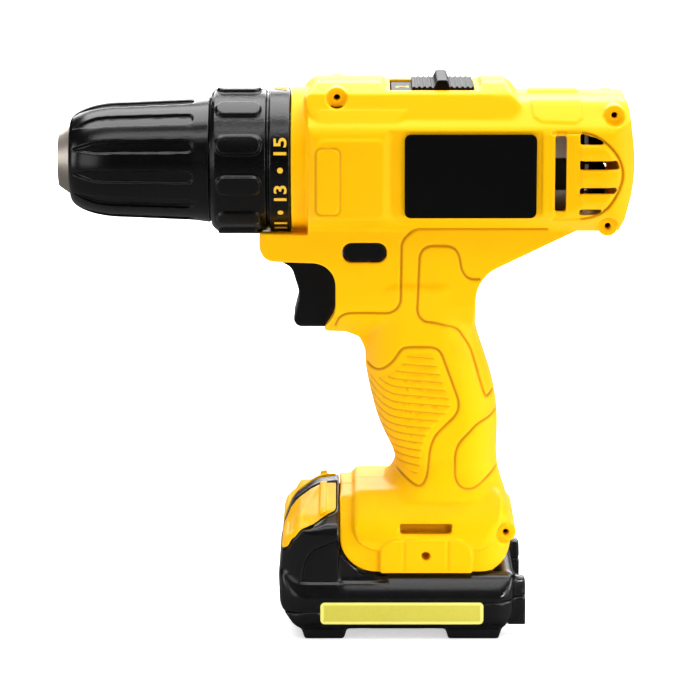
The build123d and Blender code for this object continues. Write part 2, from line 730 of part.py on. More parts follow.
save("ring_gear", ring_of_teeth(11.6, 18.2, CASE_BORE - 0.02))
save("clutch_ring_gear", ring_of_teeth(-12.0, -5.2, CASE_BORE - 0.1))
shift_ring = ring_of_teeth(2.2, 11.2, CASE_BORE - 0.35)
shift_ring -= tube_x(WIRE_FRONT - 1.3, WIRE_FRONT + 1.3, CASE_BORE + 1, RING_GROOVE_R)
save("shift_ring", shift_ring)
save("motor_pinion", outer_gear(SUN_TEETH, 11.7, 17.4) - rod_x(11, 18, SHAFT_R))
for number in range(PLANETS):
    save(f"stage1_planet_{number + 1}", planet(11.7, 17.3, number))
    save(f"stage3_planet_{number + 1}", planet(-11.5, -5.7, number))
save("stage2_planets", *[planet(2.0, 8.0, number) for number in range(PLANETS)])


def fused(first, others):
    for other in others:
        first += other
    return first


carrier_1 = outer_gear(RING_TEETH, 8.5, 11.0) + outer_gear(SUN_TEETH, 2.0, 8.6)
save("carrier_1", fused(carrier_1, planet_pins(10.9, 17.4)))
carrier_2 = rod_x(-1.0, 1.5, 13.5) + outer_gear(SUN_TEETH, -11.4, -0.9)
save("carrier_2", fused(carrier_2, planet_pins(1.4, 8.0)))
spindle = rod_x(-14.5, -12.0, 13.5) + rod_x(-46.2, -14.4, SPINDLE_R) + rod_x(-58.0, -46.1, 4.9)
spindle = fused(spindle, planet_pins(-12.1, -5.7))
save("spindle", spindle - rod_x(-59, -49, 1.75))

# Hammer ratchet, parted while drilling

CAM_TEETH = 12
fixed_cam = tube_x(-27.4, -25.0, 9.48, SPINDLE_R + 0.5)
fixed_cam = fused(fixed_cam, around(slab(-25.1, -24.4, -0.7, 0.7, AXIS_Z + 6.9, AXIS_Z + 9), CAM_TEETH))
save("hammer_cam_fixed", fixed_cam)
turning_cam = tube_x(-22.6, -20.0, 9.1, SPINDLE_R)
cam_tooth = slab(-23.3, -22.5, -0.7, 0.7, AXIS_Z + 6.9, AXIS_Z + 8.8)
turning_cam = fused(turning_cam, around(cam_tooth, CAM_TEETH))
save("hammer_cam_turning", turning_cam)

# Torque clutch

PAD_START = 69.3
NUT_REAR = -29.1
NUT_FRONT = NUT_REAR - 5.0
collar = lathe([
    (COLLAR_FRONT, SNOUT_R + 0.06), (COLLAR_FRONT, COLLAR_R - 1.6), (COLLAR_FRONT + 1.4, COLLAR_R),
    (-25.55, COLLAR_R), (-25.55, COLLAR_R - 0.9), (-24.45, COLLAR_R - 0.9),
    (-24.45, BAND_R), (COLLAR_REAR, BAND_R), (COLLAR_REAR, 20.6), (-40.0, 20.6), (-40.0, SNOUT_R + 0.06),
])
pad_plan = outline([(-42.15, -3.6, 3.2), (-26.75, -3.6, 3.2), (-26.75, 3.6, 3.2), (-42.15, 3.6, 3.2)])
pad = extrude(Plane.XY.offset(AXIS_Z + COLLAR_R - 1) * pad_plan, 4, taper=18) & rod_x(-45, -20, PAD_R)
collar = fused(collar, around(pad, PADS, PAD_START))
keyway_front = NUT_FRONT - CLUTCH_TRAVEL - 1.5
for keyway in around(slab(keyway_front, NUT_REAR + 1.1, -2.35, 2.35, AXIS_Z + 18, AXIS_Z + 21.8), 2):
    collar -= keyway
save("clutch_collar", collar)
clutch_nut = tube_x(NUT_FRONT, NUT_REAR, 17.6, SNOUT_R + 0.08)
key = slab(NUT_FRONT, NUT_REAR, -2.0, 2.0, AXIS_Z + 17, AXIS_Z + 21.4)
save("clutch_nut", fused(clutch_nut, around(key, 2)))
save("clutch_spring", tube_x(NUT_REAR + 0.1, -21.4, 16.0, 14.4))
clutch_plate = tube_x(-21.3, -19.6, 17.4, SNOUT_R + 0.3)
save("clutch_plate", fused(clutch_plate, around(rod_x(-19.7, -12.2, 1.0, 15.2), 6)))

# Chuck


def jaw_radius(x):
    return JAW_TIP_RADIUS + (x - JAW_TIP) * tan(radians(JAW_TILT))


def jaw_rod(x0, x1, radius):
    length = (x1 - x0) / cos(radians(JAW_TILT))
    middle = (x0 + x1) / 2
    return Pos(middle, 0, AXIS_Z + jaw_radius(middle)) * Rot(0, 90 - JAW_TILT, 0) * Cylinder(radius, length)


BIT_STOP = -69.2
chuck_body = lathe([
    (CHUCK_NOSE, BIT_R), (CHUCK_NOSE, 8.7), (SLEEVE_FRONT, 11.4), (JAW_TAIL - 0.5, 11.4),
    (-57.0, 17.1), (-50.0, 17.1), (-50.0, 10.0), (-46.3, 10.0), (-46.3, 4.95), (-58.0, 4.95),
    (-58.0, 1.8), (-66.5, 1.8), (-66.5, 4.0), (BIT_STOP, 4.0), (BIT_STOP, BIT_R),
])
for bore in around(jaw_rod(CHUCK_NOSE - 6, JAW_TAIL + 0.6, JAW_R + 0.06), 3):
    chuck_body -= bore
save("chuck_body", chuck_body)
for number, jaw in enumerate(around(jaw_rod(JAW_TIP, JAW_TAIL, JAW_R), 3)):
    save(f"chuck_jaw_{number + 1}", jaw)
save("chuck_screw", rod_x(-69.0, -66.5, 3.6) + rod_x(-66.6, -51.0, 1.7))


DOME_LENGTH = 18.0
DOME_RISE = 6.9


def sleeve_solid(inset, inner):
    """Turned sleeve: a rounded front, then a slow taper to the rear, closed by the inner points."""
    dome = []
    for step in range(7):
        angle = radians(15 * step)
        x = SLEEVE_FRONT + DOME_LENGTH * (1 - cos(angle))
        dome.append((x, SLEEVE_R - 1.0 - DOME_RISE * (1 - sin(angle)) - inset))
    front = Spline(*dome)
    taper = [(-49.25, SLEEVE_R - inset), (SLEEVE_REAR, SLEEVE_R + 0.7 - inset)]
    rest = Polyline(dome[-1], *taper, *inner, dome[0])
    face = make_face(front.edges() + rest.edges())
    return Pos(0, 0, AXIS_Z) * revolve(Plane.XZ * face, Axis.X)


FLUTE_HALF = 2.0
FLUTE_DEPTH = 1.1
FLUTE_END = -51.3
FLUTE_START = 68.6
sleeve = sleeve_solid(0, [
    (SLEEVE_REAR, 17.5), (-73.0, 17.5), (-79.0, 16.2), (-84.5, 11.75), (SLEEVE_FRONT, 11.75),
])
flute_plan = make_face(Polyline(
    (SLEEVE_FRONT + 0.6, 0), (-81.0, -FLUTE_HALF), (FLUTE_END, -FLUTE_HALF), (FLUTE_END, FLUTE_HALF),
    (-81.0, FLUTE_HALF), close=True))
flute = upward(flute_plan, AXIS_Z + 5, AXIS_Z + 25)
flute += rod_z(FLUTE_END, 0, AXIS_Z + 5, AXIS_Z + 25, FLUTE_HALF)
flute -= sleeve_solid(FLUTE_DEPTH, [(SLEEVE_REAR, 0), (SLEEVE_FRONT, 0)])
for cut in around(flute, FLUTES, FLUTE_START):
    sleeve -= cut
save("chuck_sleeve", sleeve)
edge = JAW_R / cos(radians(JAW_TILT)) + 0.08
save("chuck_nut", lathe([
    (-66.0, jaw_radius(-66.0) + edge), (-66.0, 17.48), (-59.5, 17.48), (-59.5, jaw_radius(-59.5) + edge),
]))

# Motor

can = rod_x(MOTOR_FRONT, MOTOR_REAR, MOTOR_R) - rod_x(MOTOR_FRONT + 1.2, MOTOR_REAR + 1, MOTOR_R - 1.2)
save("motor_can", can - rod_x(MOTOR_FRONT - 1, MOTOR_FRONT + 2, SHAFT_R + 0.06))
magnets = tube_x(27.0, 66.0, MOTOR_R - 1.22, 14.3)
magnets -= slab(20, 80, -20, 20, AXIS_Z - 3.5, AXIS_Z + 3.5)
save("motor_magnets", *magnets.solids())
rotor = rod_x(30.0, 62.0, 13.7) - rod_x(29, 63, SHAFT_R)
for slot in around(slab(29, 63, -1.2, 1.2, AXIS_Z + 8.5, AXIS_Z + 15), 8):
    rotor -= slot
save("rotor_core", rotor)
save("commutator", tube_x(65.0, 71.5, 5.2, SHAFT_R))
save("motor_shaft", rod_x(11.7, 84.0, SHAFT_R))
endbell = rod_x(MOTOR_REAR, MOTOR_REAR + 5, MOTOR_R) - rod_x(MOTOR_REAR - 1, MOTOR_REAR + 6, SHAFT_R + 0.06)
endbell += pair(66.2, MOTOR_REAR + 0.1, 5.9, 13.0, AXIS_Z - 3.2, AXIS_Z + 3.2)
endbell -= pair(66.0, 70.7, 5.0, 11.0, AXIS_Z - 2.1, AXIS_Z + 2.1)
save("motor_endbell", endbell)
save(
    "carbon_brushes",
    slab(66.5, 70.5, 5.3, 10.9, AXIS_Z - 2, AXIS_Z + 2),
    slab(66.5, 70.5, -10.9, -5.3, AXIS_Z - 2, AXIS_Z + 2),
)
fan = rod_x(79.5, 81.0, 13.3) + rod_x(79.5, 84.0, 3.5)
fan = fused(fan, around(slab(80.9, 85.5, -0.5, 0.5, AXIS_Z + 3, AXIS_Z + 13.2), 9))
save("cooling_fan", fan - rod_x(79, 84.5, SHAFT_R))

# Battery

SEAM_TILT = 3.1
SEAM_Z = 11.25
seam = Plane(origin=(19.0, 0, SEAM_Z), z_dir=(-sin(radians(SEAM_TILT)), 0, cos(radians(SEAM_TILT))))
CELL_FRONT = -15.2
CELL_Y = CELL_R + 0.2
CELL_Z = 13.7
CELL_RISE = sqrt((2 * CELL_R + 0.2) ** 2 - CELL_Y ** 2)
CELL_PLACES = [(-CELL_Y, CELL_Z), (CELL_Y, CELL_Z), (0.0, CELL_Z + CELL_RISE)]


def tray_form():
    end_view = outline(mirrored([
        (PACK_HALF - 3.5, PACK_BOTTOM, 3.0),
        (PACK_HALF, PACK_BOTTOM + 4, 3.0),
        (PACK_HALF, DECK_TOP - 6.5, 5.0),
        (PACK_HALF - 5, DECK_TOP, 4.5),
    ]))
    plan = outline([
        (PACK_FRONT, -PACK_HALF, 9.0), (PACK_REAR, -PACK_HALF, 6.0),
        (PACK_REAR, PACK_HALF, 6.0), (PACK_FRONT, PACK_HALF, 9.0),
    ])
    side_view = outline([
        (PACK_FRONT + 7, PACK_BOTTOM, 5.0),
        (PACK_REAR - 3.5, PACK_BOTTOM, 4.0),
        (PACK_REAR, PACK_BOTTOM + 8, 5.0),
        (PACK_REAR, DECK_TOP, 1.5),
        (PACK_FRONT, DECK_TOP, 0),
        (PACK_FRONT + 0.6, PACK_BOTTOM + 8, 5.0),
    ])
    solid = along(end_view, PACK_FRONT - 5, PACK_REAR + 5) & upward(plan, 0, DECK_TOP + 5)
    return solid & across(side_view, PACK_HALF + 5)


def tower_form(inset):
    end_view = outline(mirrored([
        (TOWER_HALF, DECK_TOP - 4, 0),
        (TOWER_HALF, TOWER_TOP - 9.5, 5.0),
        (TOWER_HALF - 6.4, TOWER_TOP - 5, 8.0),
        (4.0, TOWER_TOP + 0.6, 8.0),
    ]))
    plan = outline([
        (PACK_FRONT - 0.3, -TOWER_HALF, 11.0), (FOOT_FRONT - FREE, -TOWER_HALF, 0),
        (FOOT_FRONT - FREE, TOWER_HALF, 0), (PACK_FRONT - 0.3, TOWER_HALF, 11.0),
    ])
    side_view = outline([
        (PACK_FRONT, DECK_TOP - 4, 0),
        (FOOT_FRONT - FREE, DECK_TOP - 4, 0),
        (FOOT_FRONT - FREE, TOWER_TOP + 0.6, 0),
        (-9.7, TOWER_TOP - 0.6, 10.0),
        (-17.4, TOWER_TOP - 6.4, 8.0),
        (-20.4, TOWER_TOP - 14.9, 10.0),
    ])
    solid = along(end_view, PACK_FRONT - 5, FOOT_FRONT - FREE - inset, inset)
    solid &= upward(plan, DECK_TOP - 4, TOWER_TOP + 5, inset)
    return solid & across(side_view, TOWER_HALF + 5, inset)


LATCH_INNER = 6.0
LATCH_DEPTH = 2.6
LATCH_PROUD = 0.2
latch_view = outline([
    (-2.9, 42.2, 0.6), (-2.9, 56.0, 0), (-28.0, 56.0, 0), (-28.0, 28.6, 0),
    (-18.8, 30.5, 3.0), (-17.3, 34.1, 3.0), (-14.2, 37.7, 4.0), (-8.8, 40.3, 8.0),
])
POST_X = -12.0
POST_Z = 39.2
POST_IN = TOWER_HALF - 9.4
SPRING_IN = TOWER_HALF - 15.4
SPRING_R = 1.4
SPRING_ROOM = 2.2
FOOT_PADS = [(-13.3, -0.2), (34.2, 50.9)]
SCREW_Y = PACK_HALF - 7
PACK_SCREWS = [(6.0, SCREW_Y), (6.0, -SCREW_Y), (28.0, SCREW_Y), (28.0, -SCREW_Y)]


def pack_form():
    solid = tray_form() + tower_form(0)
    solid += slab(FOOT_FRONT - 1.3, RAIL_REAR, -RAIL_NECK, RAIL_NECK, DECK_TOP - 2, RAIL_TOP)
    solid += slab(FOOT_FRONT - 1.3, RAIL_REAR, -RAIL_WING, RAIL_WING, FOOT_BOTTOM + 5.1, FOOT_BOTTOM + 11.7)
    solid += pair(PACK_REAR - 2, PACK_REAR + 3.9, PACK_HALF - 11.4, PACK_HALF - 6, 3.6, 20.0)
    corner = slab(FOOT_FRONT - 1.3, FOOT_FRONT + 12, -50, 50, DECK_TOP - 2, FOOT_BOTTOM + 12)
    corner -= rod_y(FOOT_FRONT + 12, FOOT_BOTTOM + 12, -51, 51, 12.4)
    for side in (-1, 1):
        low = min(side * (SKIRT_HALF - 1.6), side * (TOWER_HALF - 1.5))
        high = max(side * (SKIRT_HALF - 1.6), side * (TOWER_HALF - 1.5))
        solid += corner & slab(-10, 20, low, high, 0, 50)
    for front, rear in FOOT_PADS:
        pad_view = outline([
            (front - 1, PACK_BOTTOM + 0.6, 0), (rear + 1, PACK_BOTTOM + 0.6, 0),
            (rear, 0.0, 0.4), (front, 0.0, 0.4),
        ])
        solid += sideways(pad_view, PACK_HALF - 19, PACK_HALF - 2)
        solid += sideways(pad_view, 2 - PACK_HALF, 19 - PACK_HALF)
    # Cell bores, side hollows with the screw columns left standing, rear hollow
    for y, z in CELL_PLACES:
        solid -= rod_x(CELL_FRONT - 0.3, CELL_FRONT + CELL_LENGTH + 0.4, CELL_R + 0.05, y, z)
    side_hollow = pair(-14.0, 50.0, 20.6, PACK_HALF - 2.8, PACK_BOTTOM + 2, DECK_TOP - 6)
    for x, y in PACK_SCREWS:
        side_hollow -= rod_z(x, y, 0, DECK_TOP, 3.8)
    solid -= side_hollow
    solid -= slab(47.6, PACK_REAR - 2, -18, 18, PACK_BOTTOM + 2, DECK_TOP - 3)
    # Slots for the blades, label recesses, screws
    solid -= pair(34.5, RAIL_REAR + 1, BLADE_Y - 1.4, BLADE_Y + 1.4, 27.0, 36.8)
    solid -= pair(-8.2, 45.9, PACK_HALF - 0.5, PACK_HALF + 1, 5.4, 13.2)
    for x, y in PACK_SCREWS:
        solid -= rod_z(x, y, PACK_BOTTOM - 1, PACK_BOTTOM + 2.4, 2.8)
        solid -= rod_z(x, y, PACK_BOTTOM, 17.5, SCREW_R + 0.05)
    # Latch pockets with a spring hole each
    for side in (-1, 1):
        y0 = min(side * (LATCH_INNER - 0.35 - LATCH_TRAVEL), side * 45)
        y1 = max(side * (LATCH_INNER - 0.35 - LATCH_TRAVEL), side * 45)
        solid -= sideways(grown(latch_view, 0.35), y0, y1) - tower_form(LATCH_DEPTH + LATCH_TRAVEL + 0.6)
        low = min(side * SPRING_IN, side * TOWER_HALF)
        high = max(side * SPRING_IN, side * TOWER_HALF)
        solid -= rod_y(POST_X, POST_Z, low, high, 1.8)
    return solid


pack = pack_form()
save("battery_top_case", split(pack, seam, Keep.TOP))
save("battery_base", split(pack, seam, Keep.BOTTOM))


def latch(side):
    y0 = min(side * LATCH_INNER, side * 45)
    y1 = max(side * LATCH_INNER, side * 45)
    button = sideways(latch_view, y0, y1) & (tower_form(-LATCH_PROUD) - tower_form(LATCH_DEPTH))
    low = min(side * (LATCH_INNER + 1), side * (TOWER_HALF - 4.4))
    high = max(side * (LATCH_INNER + 1), side * (TOWER_HALF - 4.4))
    ridge = slab(-8.2, -6.0, low, high, 42.5, TOWER_TOP + 10)
    button += ridge & (tower_form(-1.5) - tower_form(1.0))
    low = min(0.0, side * (POST_IN + SPRING_ROOM))
    high = max(0.0, side * (POST_IN + SPRING_ROOM))
    button -= rod_y(POST_X, POST_Z, low, high, SPRING_R + 0.35)
    low = min(side * POST_IN, side * (POST_IN + 4.5))
    high = max(side * POST_IN, side * (POST_IN + 4.5))
    return button + rod_y(POST_X, POST_Z, low, high, 1.0)


save("battery_latch_left", latch(-1))
save("battery_latch_right", latch(1))


def latch_spring(side):
    y0 = min(side * (SPRING_IN + 0.1), side * (POST_IN - 0.1))
    y1 = max(side * (SPRING_IN + 0.1), side * (POST_IN - 0.1))
    return rod_y(POST_X, POST_Z, y0, y1, SPRING_R) - rod_y(POST_X, POST_Z, y0 - 1, y1 + 1, 0.8)


save("latch_springs", latch_spring(-1), latch_spring(1))
save("battery_cells", *[
    rod_x(CELL_FRONT, CELL_FRONT + CELL_LENGTH, CELL_R, y, z) for y, z in CELL_PLACES
])
contacts = []
for side in (-1, 1):
    for y in (BLADE_Y - 1.05, BLADE_Y + 1.05):
        contacts.append(slab(35.0, 46.0, side * y - 0.3, side * y + 0.3, 27.5, 36.5))
save("battery_contacts", *contacts)
label_view = outline([(-8.0, 5.6, 1.5), (45.7, 5.6, 1.5), (45.7, 13.0, 1.5), (-8.0, 13.0, 1.5)])
label_face = PACK_HALF - 0.5
save(
    "battery_labels",
    sideways(label_view, label_face, label_face + 0.4),
    sideways(label_view, -label_face - 0.4, -label_face),
)


def pack_screw(x, y):
    head = rod_z(x, y, PACK_BOTTOM + 0.4, PACK_BOTTOM + 2.4, 2.6)
    return head + rod_z(x, y, PACK_BOTTOM + 2.3, 16.8, SCREW_R)


save("battery_screws", *[pack_screw(x, y) for x, y in PACK_SCREWS])
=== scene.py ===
# %% [markdown]
# A compact cordless drill stands on its slide-on battery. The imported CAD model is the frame: every body,
# size and place comes from it. This lesson dresses that frame so that it looks like the real tool: moulded
# yellow shells with soft edges, a glossy black chuck and battery, a steel nose and a plain pale strip.

# %% Load the frame
import json
from math import cos, pi, radians, sin

import bpy
import numpy as np
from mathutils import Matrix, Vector

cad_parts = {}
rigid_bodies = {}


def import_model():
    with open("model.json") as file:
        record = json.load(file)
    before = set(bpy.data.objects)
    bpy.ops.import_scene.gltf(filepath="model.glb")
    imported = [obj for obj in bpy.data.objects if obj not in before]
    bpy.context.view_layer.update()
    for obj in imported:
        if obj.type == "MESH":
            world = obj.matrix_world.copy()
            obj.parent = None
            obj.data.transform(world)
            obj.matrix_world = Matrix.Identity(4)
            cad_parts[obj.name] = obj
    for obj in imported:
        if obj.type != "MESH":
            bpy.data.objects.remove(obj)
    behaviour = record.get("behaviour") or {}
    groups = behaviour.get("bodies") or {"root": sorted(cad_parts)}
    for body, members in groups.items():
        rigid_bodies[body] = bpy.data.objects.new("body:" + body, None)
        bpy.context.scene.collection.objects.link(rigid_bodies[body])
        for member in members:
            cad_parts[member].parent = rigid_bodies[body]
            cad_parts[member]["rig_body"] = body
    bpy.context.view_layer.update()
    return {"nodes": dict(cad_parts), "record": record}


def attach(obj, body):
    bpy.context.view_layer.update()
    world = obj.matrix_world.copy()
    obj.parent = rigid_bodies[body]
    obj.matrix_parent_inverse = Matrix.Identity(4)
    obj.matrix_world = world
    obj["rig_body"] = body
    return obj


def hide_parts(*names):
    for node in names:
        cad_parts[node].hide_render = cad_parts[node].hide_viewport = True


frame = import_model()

MM = 0.001
SPINDLE_Z = 0.1555
nodes = frame["nodes"]


def add_object(name, data):
    """A new object in the scene."""
    piece = bpy.data.objects.new(name, data)
    bpy.context.scene.collection.objects.link(piece)
    return piece


# %% [markdown]
# The camera looks from the left side, a little from above, with a long lens, as in a catalogue picture.
# Its place follows from the distance, the tilt and the point that it looks at, so each can be tuned alone.

# %% Camera
LOOK_AT = Vector((0.00175, 0.0, 0.0912))
CAMERA_DISTANCE = 1.190
CAMERA_TILT = radians(12.4)
CAMERA_LENS = 183.6
CAMERA_SENSOR = 36.0

camera_data = bpy.data.cameras.new("catalogue_camera")
camera_data.lens = CAMERA_LENS
camera_data.sensor_width = CAMERA_SENSOR
camera = add_object("catalogue_camera", camera_data)
camera.location = LOOK_AT + Vector((0, -cos(CAMERA_TILT), sin(CAMERA_TILT))) * CAMERA_DISTANCE
camera.rotation_euler = (pi / 2 - CAMERA_TILT, 0, 0)
bpy.context.scene.camera = camera
print("camera at", [round(v, 3) for v in camera.location])

# %% [markdown]
# Small helpers for materials. A Principled shader gets its plain numbers straight on its sockets, and only
# what changes over the surface comes in through links. What several finishes share goes into a node group.

# %% Material helpers


def new_material(name, roughness, metallic=0.0, specular=0.5):
    """A node material with a plain Principled shader, returned with its node tree."""
    material = bpy.data.materials.new(name)
    material.use_nodes = True
    shader = material.node_tree.nodes["Principled BSDF"]
    shader.inputs["Roughness"].default_value = roughness
    shader.inputs["Metallic"].default_value = metallic
    shader.inputs["Specular IOR Level"].default_value = specular
    return material, material.node_tree, shader


def add_node(tree, kind, values=None, **settings):
    """A new shader node: the settings go on the node itself, the values on its input sockets."""
    node = tree.nodes.new("ShaderNode" + kind)
    for key, value in settings.items():
        setattr(node, key, value)
    for socket, value in (values or {}).items():
        node.inputs[socket].default_value = value
    return node


def join(tree, *pairs):
    """Link each output to its input."""
    for output, socket in pairs:
        tree.links.new(output, socket)


def own_place(tree):
    """The output that tells a point's place on its own object."""
    return add_node(tree, "TexCoord").outputs["Object"]


def new_group(name, inputs):
    """A shader group that gives colour, roughness and height, with its input and output nodes."""
    group = bpy.data.node_groups.new(name, "ShaderNodeTree")
    for socket, kind in inputs.items():
        group.interface.new_socket(name=socket, in_out="INPUT", socket_type="NodeSocket" + kind)
    for socket, kind in {"Colour": "Color", "Roughness": "Float", "Height": "Float"}.items():
        group.interface.new_socket(name=socket, in_out="OUTPUT", socket_type="NodeSocket" + kind)
    return group, group.nodes.new("NodeGroupInput"), group.nodes.new("NodeGroupOutput")


def use_group(tree, shader, group, values, strength, height):
    """Let a shared group drive a shader's colour, gloss and bump."""
    surface = add_node(tree, "Group", values, node_tree=group)
    bump = add_node(tree, "Bump", {"Strength": strength, "Distance": height})
    join(
        tree,
        (surface.outputs["Colour"], shader.inputs["Base Color"]),
        (surface.outputs["Roughness"], shader.inputs["Roughness"]),
        (surface.outputs["Height"], bump.inputs["Height"]),
        (bump.outputs["Normal"], shader.inputs["Normal"]),
    )


# %% [markdown]
# Moulded plastic shows a few things up close: a fine spark-eroded grain from the mould, faint cloudy
# differences of gloss, colour that shifts a little from place to place, and outer edges that handling has
# rubbed paler and smoother. The grooves get painted shade, a darker tint over their colour. One node group
# makes them from the surface's own position, from an "edge" value and from a value for the grooves' painted
# shade that a moulding stores in its mesh, and each plastic uses it with its own values.

# %% Shared group: moulded plastic
CLOUD_SCALE = 38.0
RUB_SCALE = 260.0
NOISE_MIDDLE = 0.5
# Painted shade in the grooves: the colour there is multiplied by this tint.
GROOVE_PAINTED_SHADE = (0.50, 0.36, 0.30, 1)
WORN_GLOSS = -0.10
GRAIN_STRENGTH = 0.35
moulded, g_in, g_out = new_group("moulded_surface", {
    "Colour": "Color", "Shade Colour": "Color", "Worn Colour": "Color",
    "Grain Scale": "Float", "Roughness": "Float", "Roughness Spread": "Float",
})
g_place = own_place(moulded)
g_cloud = add_node(moulded, "TexNoise", {"Scale": CLOUD_SCALE, "Detail": 4.0})
g_grain = add_node(moulded, "TexNoise", {"Detail": 3.0, "Roughness": 0.6})
g_rub = add_node(moulded, "TexNoise", {"Scale": RUB_SCALE, "Detail": 5.0})
g_edge = add_node(moulded, "Attribute", attribute_name="edge")
g_groove_shade_value = add_node(moulded, "Attribute", attribute_name="groove_shade")
g_mix = add_node(moulded, "Mix", data_type="RGBA")
g_worn = add_node(moulded, "Math", operation="MULTIPLY")
g_wear = add_node(moulded, "Mix", data_type="RGBA")
# This node darkens the grooves with painted shade.
g_painted_shade = add_node(moulded, "Mix", {"B": GROOVE_PAINTED_SHADE}, data_type="RGBA", blend_type="MULTIPLY")
g_centre = add_node(moulded, "Math", {1: NOISE_MIDDLE}, operation="SUBTRACT")
g_spread = add_node(moulded, "Math", operation="MULTIPLY_ADD")
g_shine = add_node(moulded, "Math", {1: WORN_GLOSS}, operation="MULTIPLY_ADD")
join(
    moulded,
    (g_place, g_cloud.inputs["Vector"]),
    (g_place, g_grain.inputs["Vector"]),
    (g_place, g_rub.inputs["Vector"]),
    (g_in.outputs["Grain Scale"], g_grain.inputs["Scale"]),
    (g_cloud.outputs["Fac"], g_mix.inputs["Factor"]),
    (g_in.outputs["Colour"], g_mix.inputs["A"]),
    (g_in.outputs["Shade Colour"], g_mix.inputs["B"]),
    (g_edge.outputs["Fac"], g_worn.inputs[0]),
    (g_rub.outputs["Fac"], g_worn.inputs[1]),
    (g_worn.outputs[0], g_wear.inputs["Factor"]),
    (g_mix.outputs["Result"], g_wear.inputs["A"]),
    (g_in.outputs["Worn Colour"], g_wear.inputs["B"]),
    (g_groove_shade_value.outputs["Fac"], g_painted_shade.inputs["Factor"]),
    (g_wear.outputs["Result"], g_painted_shade.inputs["A"]),
    (g_cloud.outputs["Fac"], g_centre.inputs[0]),
    (g_centre.outputs[0], g_spread.inputs[0]),
    (g_in.outputs["Roughness Spread"], g_spread.inputs[1]),
    (g_in.outputs["Roughness"], g_spread.inputs[2]),
    (g_worn.outputs[0], g_shine.inputs[0]),
    (g_spread.outputs[0], g_shine.inputs[2]),
    (g_painted_shade.outputs["Result"], g_out.inputs["Colour"]),
    (g_shine.outputs[0], g_out.inputs["Roughness"]),
    (g_grain.outputs["Fac"], g_out.inputs["Height"]),
)
print("group", moulded.name, len(moulded.nodes), "nodes")


def plastic(name, colour, shade, worn, roughness, spread, grain_scale, grain_height, specular=0.5, tint=None):
    """Moulded plastic with its own colours, gloss and grain."""
    material, tree, shader = new_material(name, roughness, specular=specular)
    if tint is not None:
        shader.inputs["Specular Tint"].default_value = (*tint, 1)
    values = {
        "Colour": (*colour, 1), "Shade Colour": (*shade, 1), "Worn Colour": (*worn, 1),
        "Roughness": roughness, "Roughness Spread": spread, "Grain Scale": grain_scale,
    }
    use_group(tree, shader, moulded, values, GRAIN_STRENGTH, grain_height)
    return material


# %% [markdown]
# Turned and drawn metal keeps the lines of the tool that cut it. They run round the spindle, so the
# stripes depend on the distance along X, with a slow cloud over them for handling marks.

# %% Shared group: turned metal
LINE_STRETCH = (4200.0, 60.0, 60.0)
HANDLING_SCALE = 120.0
LINE_GLOSS = 0.18
LINE_STRENGTH = 0.25
turned_lines, g_in, g_out = new_group(
    "turned_lines", {"Colour": "Color", "Dark Colour": "Color", "Roughness": "Float"})
g_place = own_place(turned_lines)
g_stretch = add_node(turned_lines, "Mapping", {"Scale": LINE_STRETCH})
g_lines = add_node(turned_lines, "TexNoise", {"Scale": 1.0, "Detail": 2.0})
g_cloud = add_node(turned_lines, "TexNoise", {"Scale": HANDLING_SCALE})
g_mix = add_node(turned_lines, "Mix", data_type="RGBA")
g_rough = add_node(turned_lines, "Math", {1: LINE_GLOSS}, operation="MULTIPLY_ADD")
join(
    turned_lines,
    (g_place, g_stretch.inputs["Vector"]),
    (g_stretch.outputs["Vector"], g_lines.inputs["Vector"]),
    (g_place, g_cloud.inputs["Vector"]),
    (g_cloud.outputs["Fac"], g_mix.inputs["Factor"]),
    (g_in.outputs["Colour"], g_mix.inputs["A"]),
    (g_in.outputs["Dark Colour"], g_mix.inputs["B"]),
    (g_lines.outputs["Fac"], g_rough.inputs[0]),
    (g_in.outputs["Roughness"], g_rough.inputs[2]),
    (g_mix.outputs["Result"], g_out.inputs["Colour"]),
    (g_rough.outputs[0], g_out.inputs["Roughness"]),
    (g_lines.outputs["Fac"], g_out.inputs["Height"]),
)
print("group", turned_lines.name, len(turned_lines.nodes), "nodes")


def metal(name, colour, dark, roughness, metallic=1.0, line_depth=0.00001):
    """Machined metal with its own colours, gloss and depth of tool lines."""
    material, tree, shader = new_material(name, roughness, metallic)
    values = {"Colour": (*colour, 1), "Dark Colour": (*dark, 1), "Roughness": roughness}
    use_group(tree, shader, turned_lines, values, LINE_STRENGTH, line_depth)
    return material


# %% [markdown]
# The finishes of this tool. The shells are a strong warm yellow with a soft sheen. The chuck, collar,
# trigger and battery are a glossy black, with a coarser grain on the collar. The speed slide is a duller
# black, and the dark side plates are a dull film.

# %% Finishes
YELLOW = (0.93, 0.475, 0.0012)
YELLOW_SHADE = (0.90, 0.445, 0.001)
YELLOW_WORN = (0.96, 0.57, 0.02)
YELLOW_GLOSS = (1.0, 0.78, 0.12)
BLACK = (0.0012, 0.0012, 0.0014)
BLACK_SHADE = (0.0030, 0.0030, 0.0033)
BLACK_WORN = (0.022, 0.022, 0.023)
CASE_SHADE = (0.0055, 0.0055, 0.006)
PLATE = (0.002, 0.002, 0.002)
PLATE_SHADE = (0.003, 0.003, 0.003)
PRINT = (0.90, 0.52, 0.02)
PRINT_SHADE = (0.84, 0.46, 0.015)
LEAD_COVER = (0.02, 0.02, 0.02)
LEAD_SHADE = (0.03, 0.03, 0.03)
YELLOWS = (YELLOW, YELLOW_SHADE, YELLOW_WORN)
BLACKS = (BLACK, BLACK_SHADE, BLACK_WORN)
shell_yellow = plastic(
    "shell_yellow", *YELLOWS, roughness=0.44, spread=0.10, grain_scale=2400.0, grain_height=0.00005,
    specular=0.35, tint=YELLOW_GLOSS)
latch_yellow = plastic(
    "latch_yellow", *YELLOWS, roughness=0.40, spread=0.10, grain_scale=2400.0, grain_height=0.00005,
    specular=0.4, tint=YELLOW_GLOSS)
grip_black = plastic(
    "grip_black", *BLACKS, roughness=0.20, spread=0.08, grain_scale=2300.0, grain_height=0.00007)
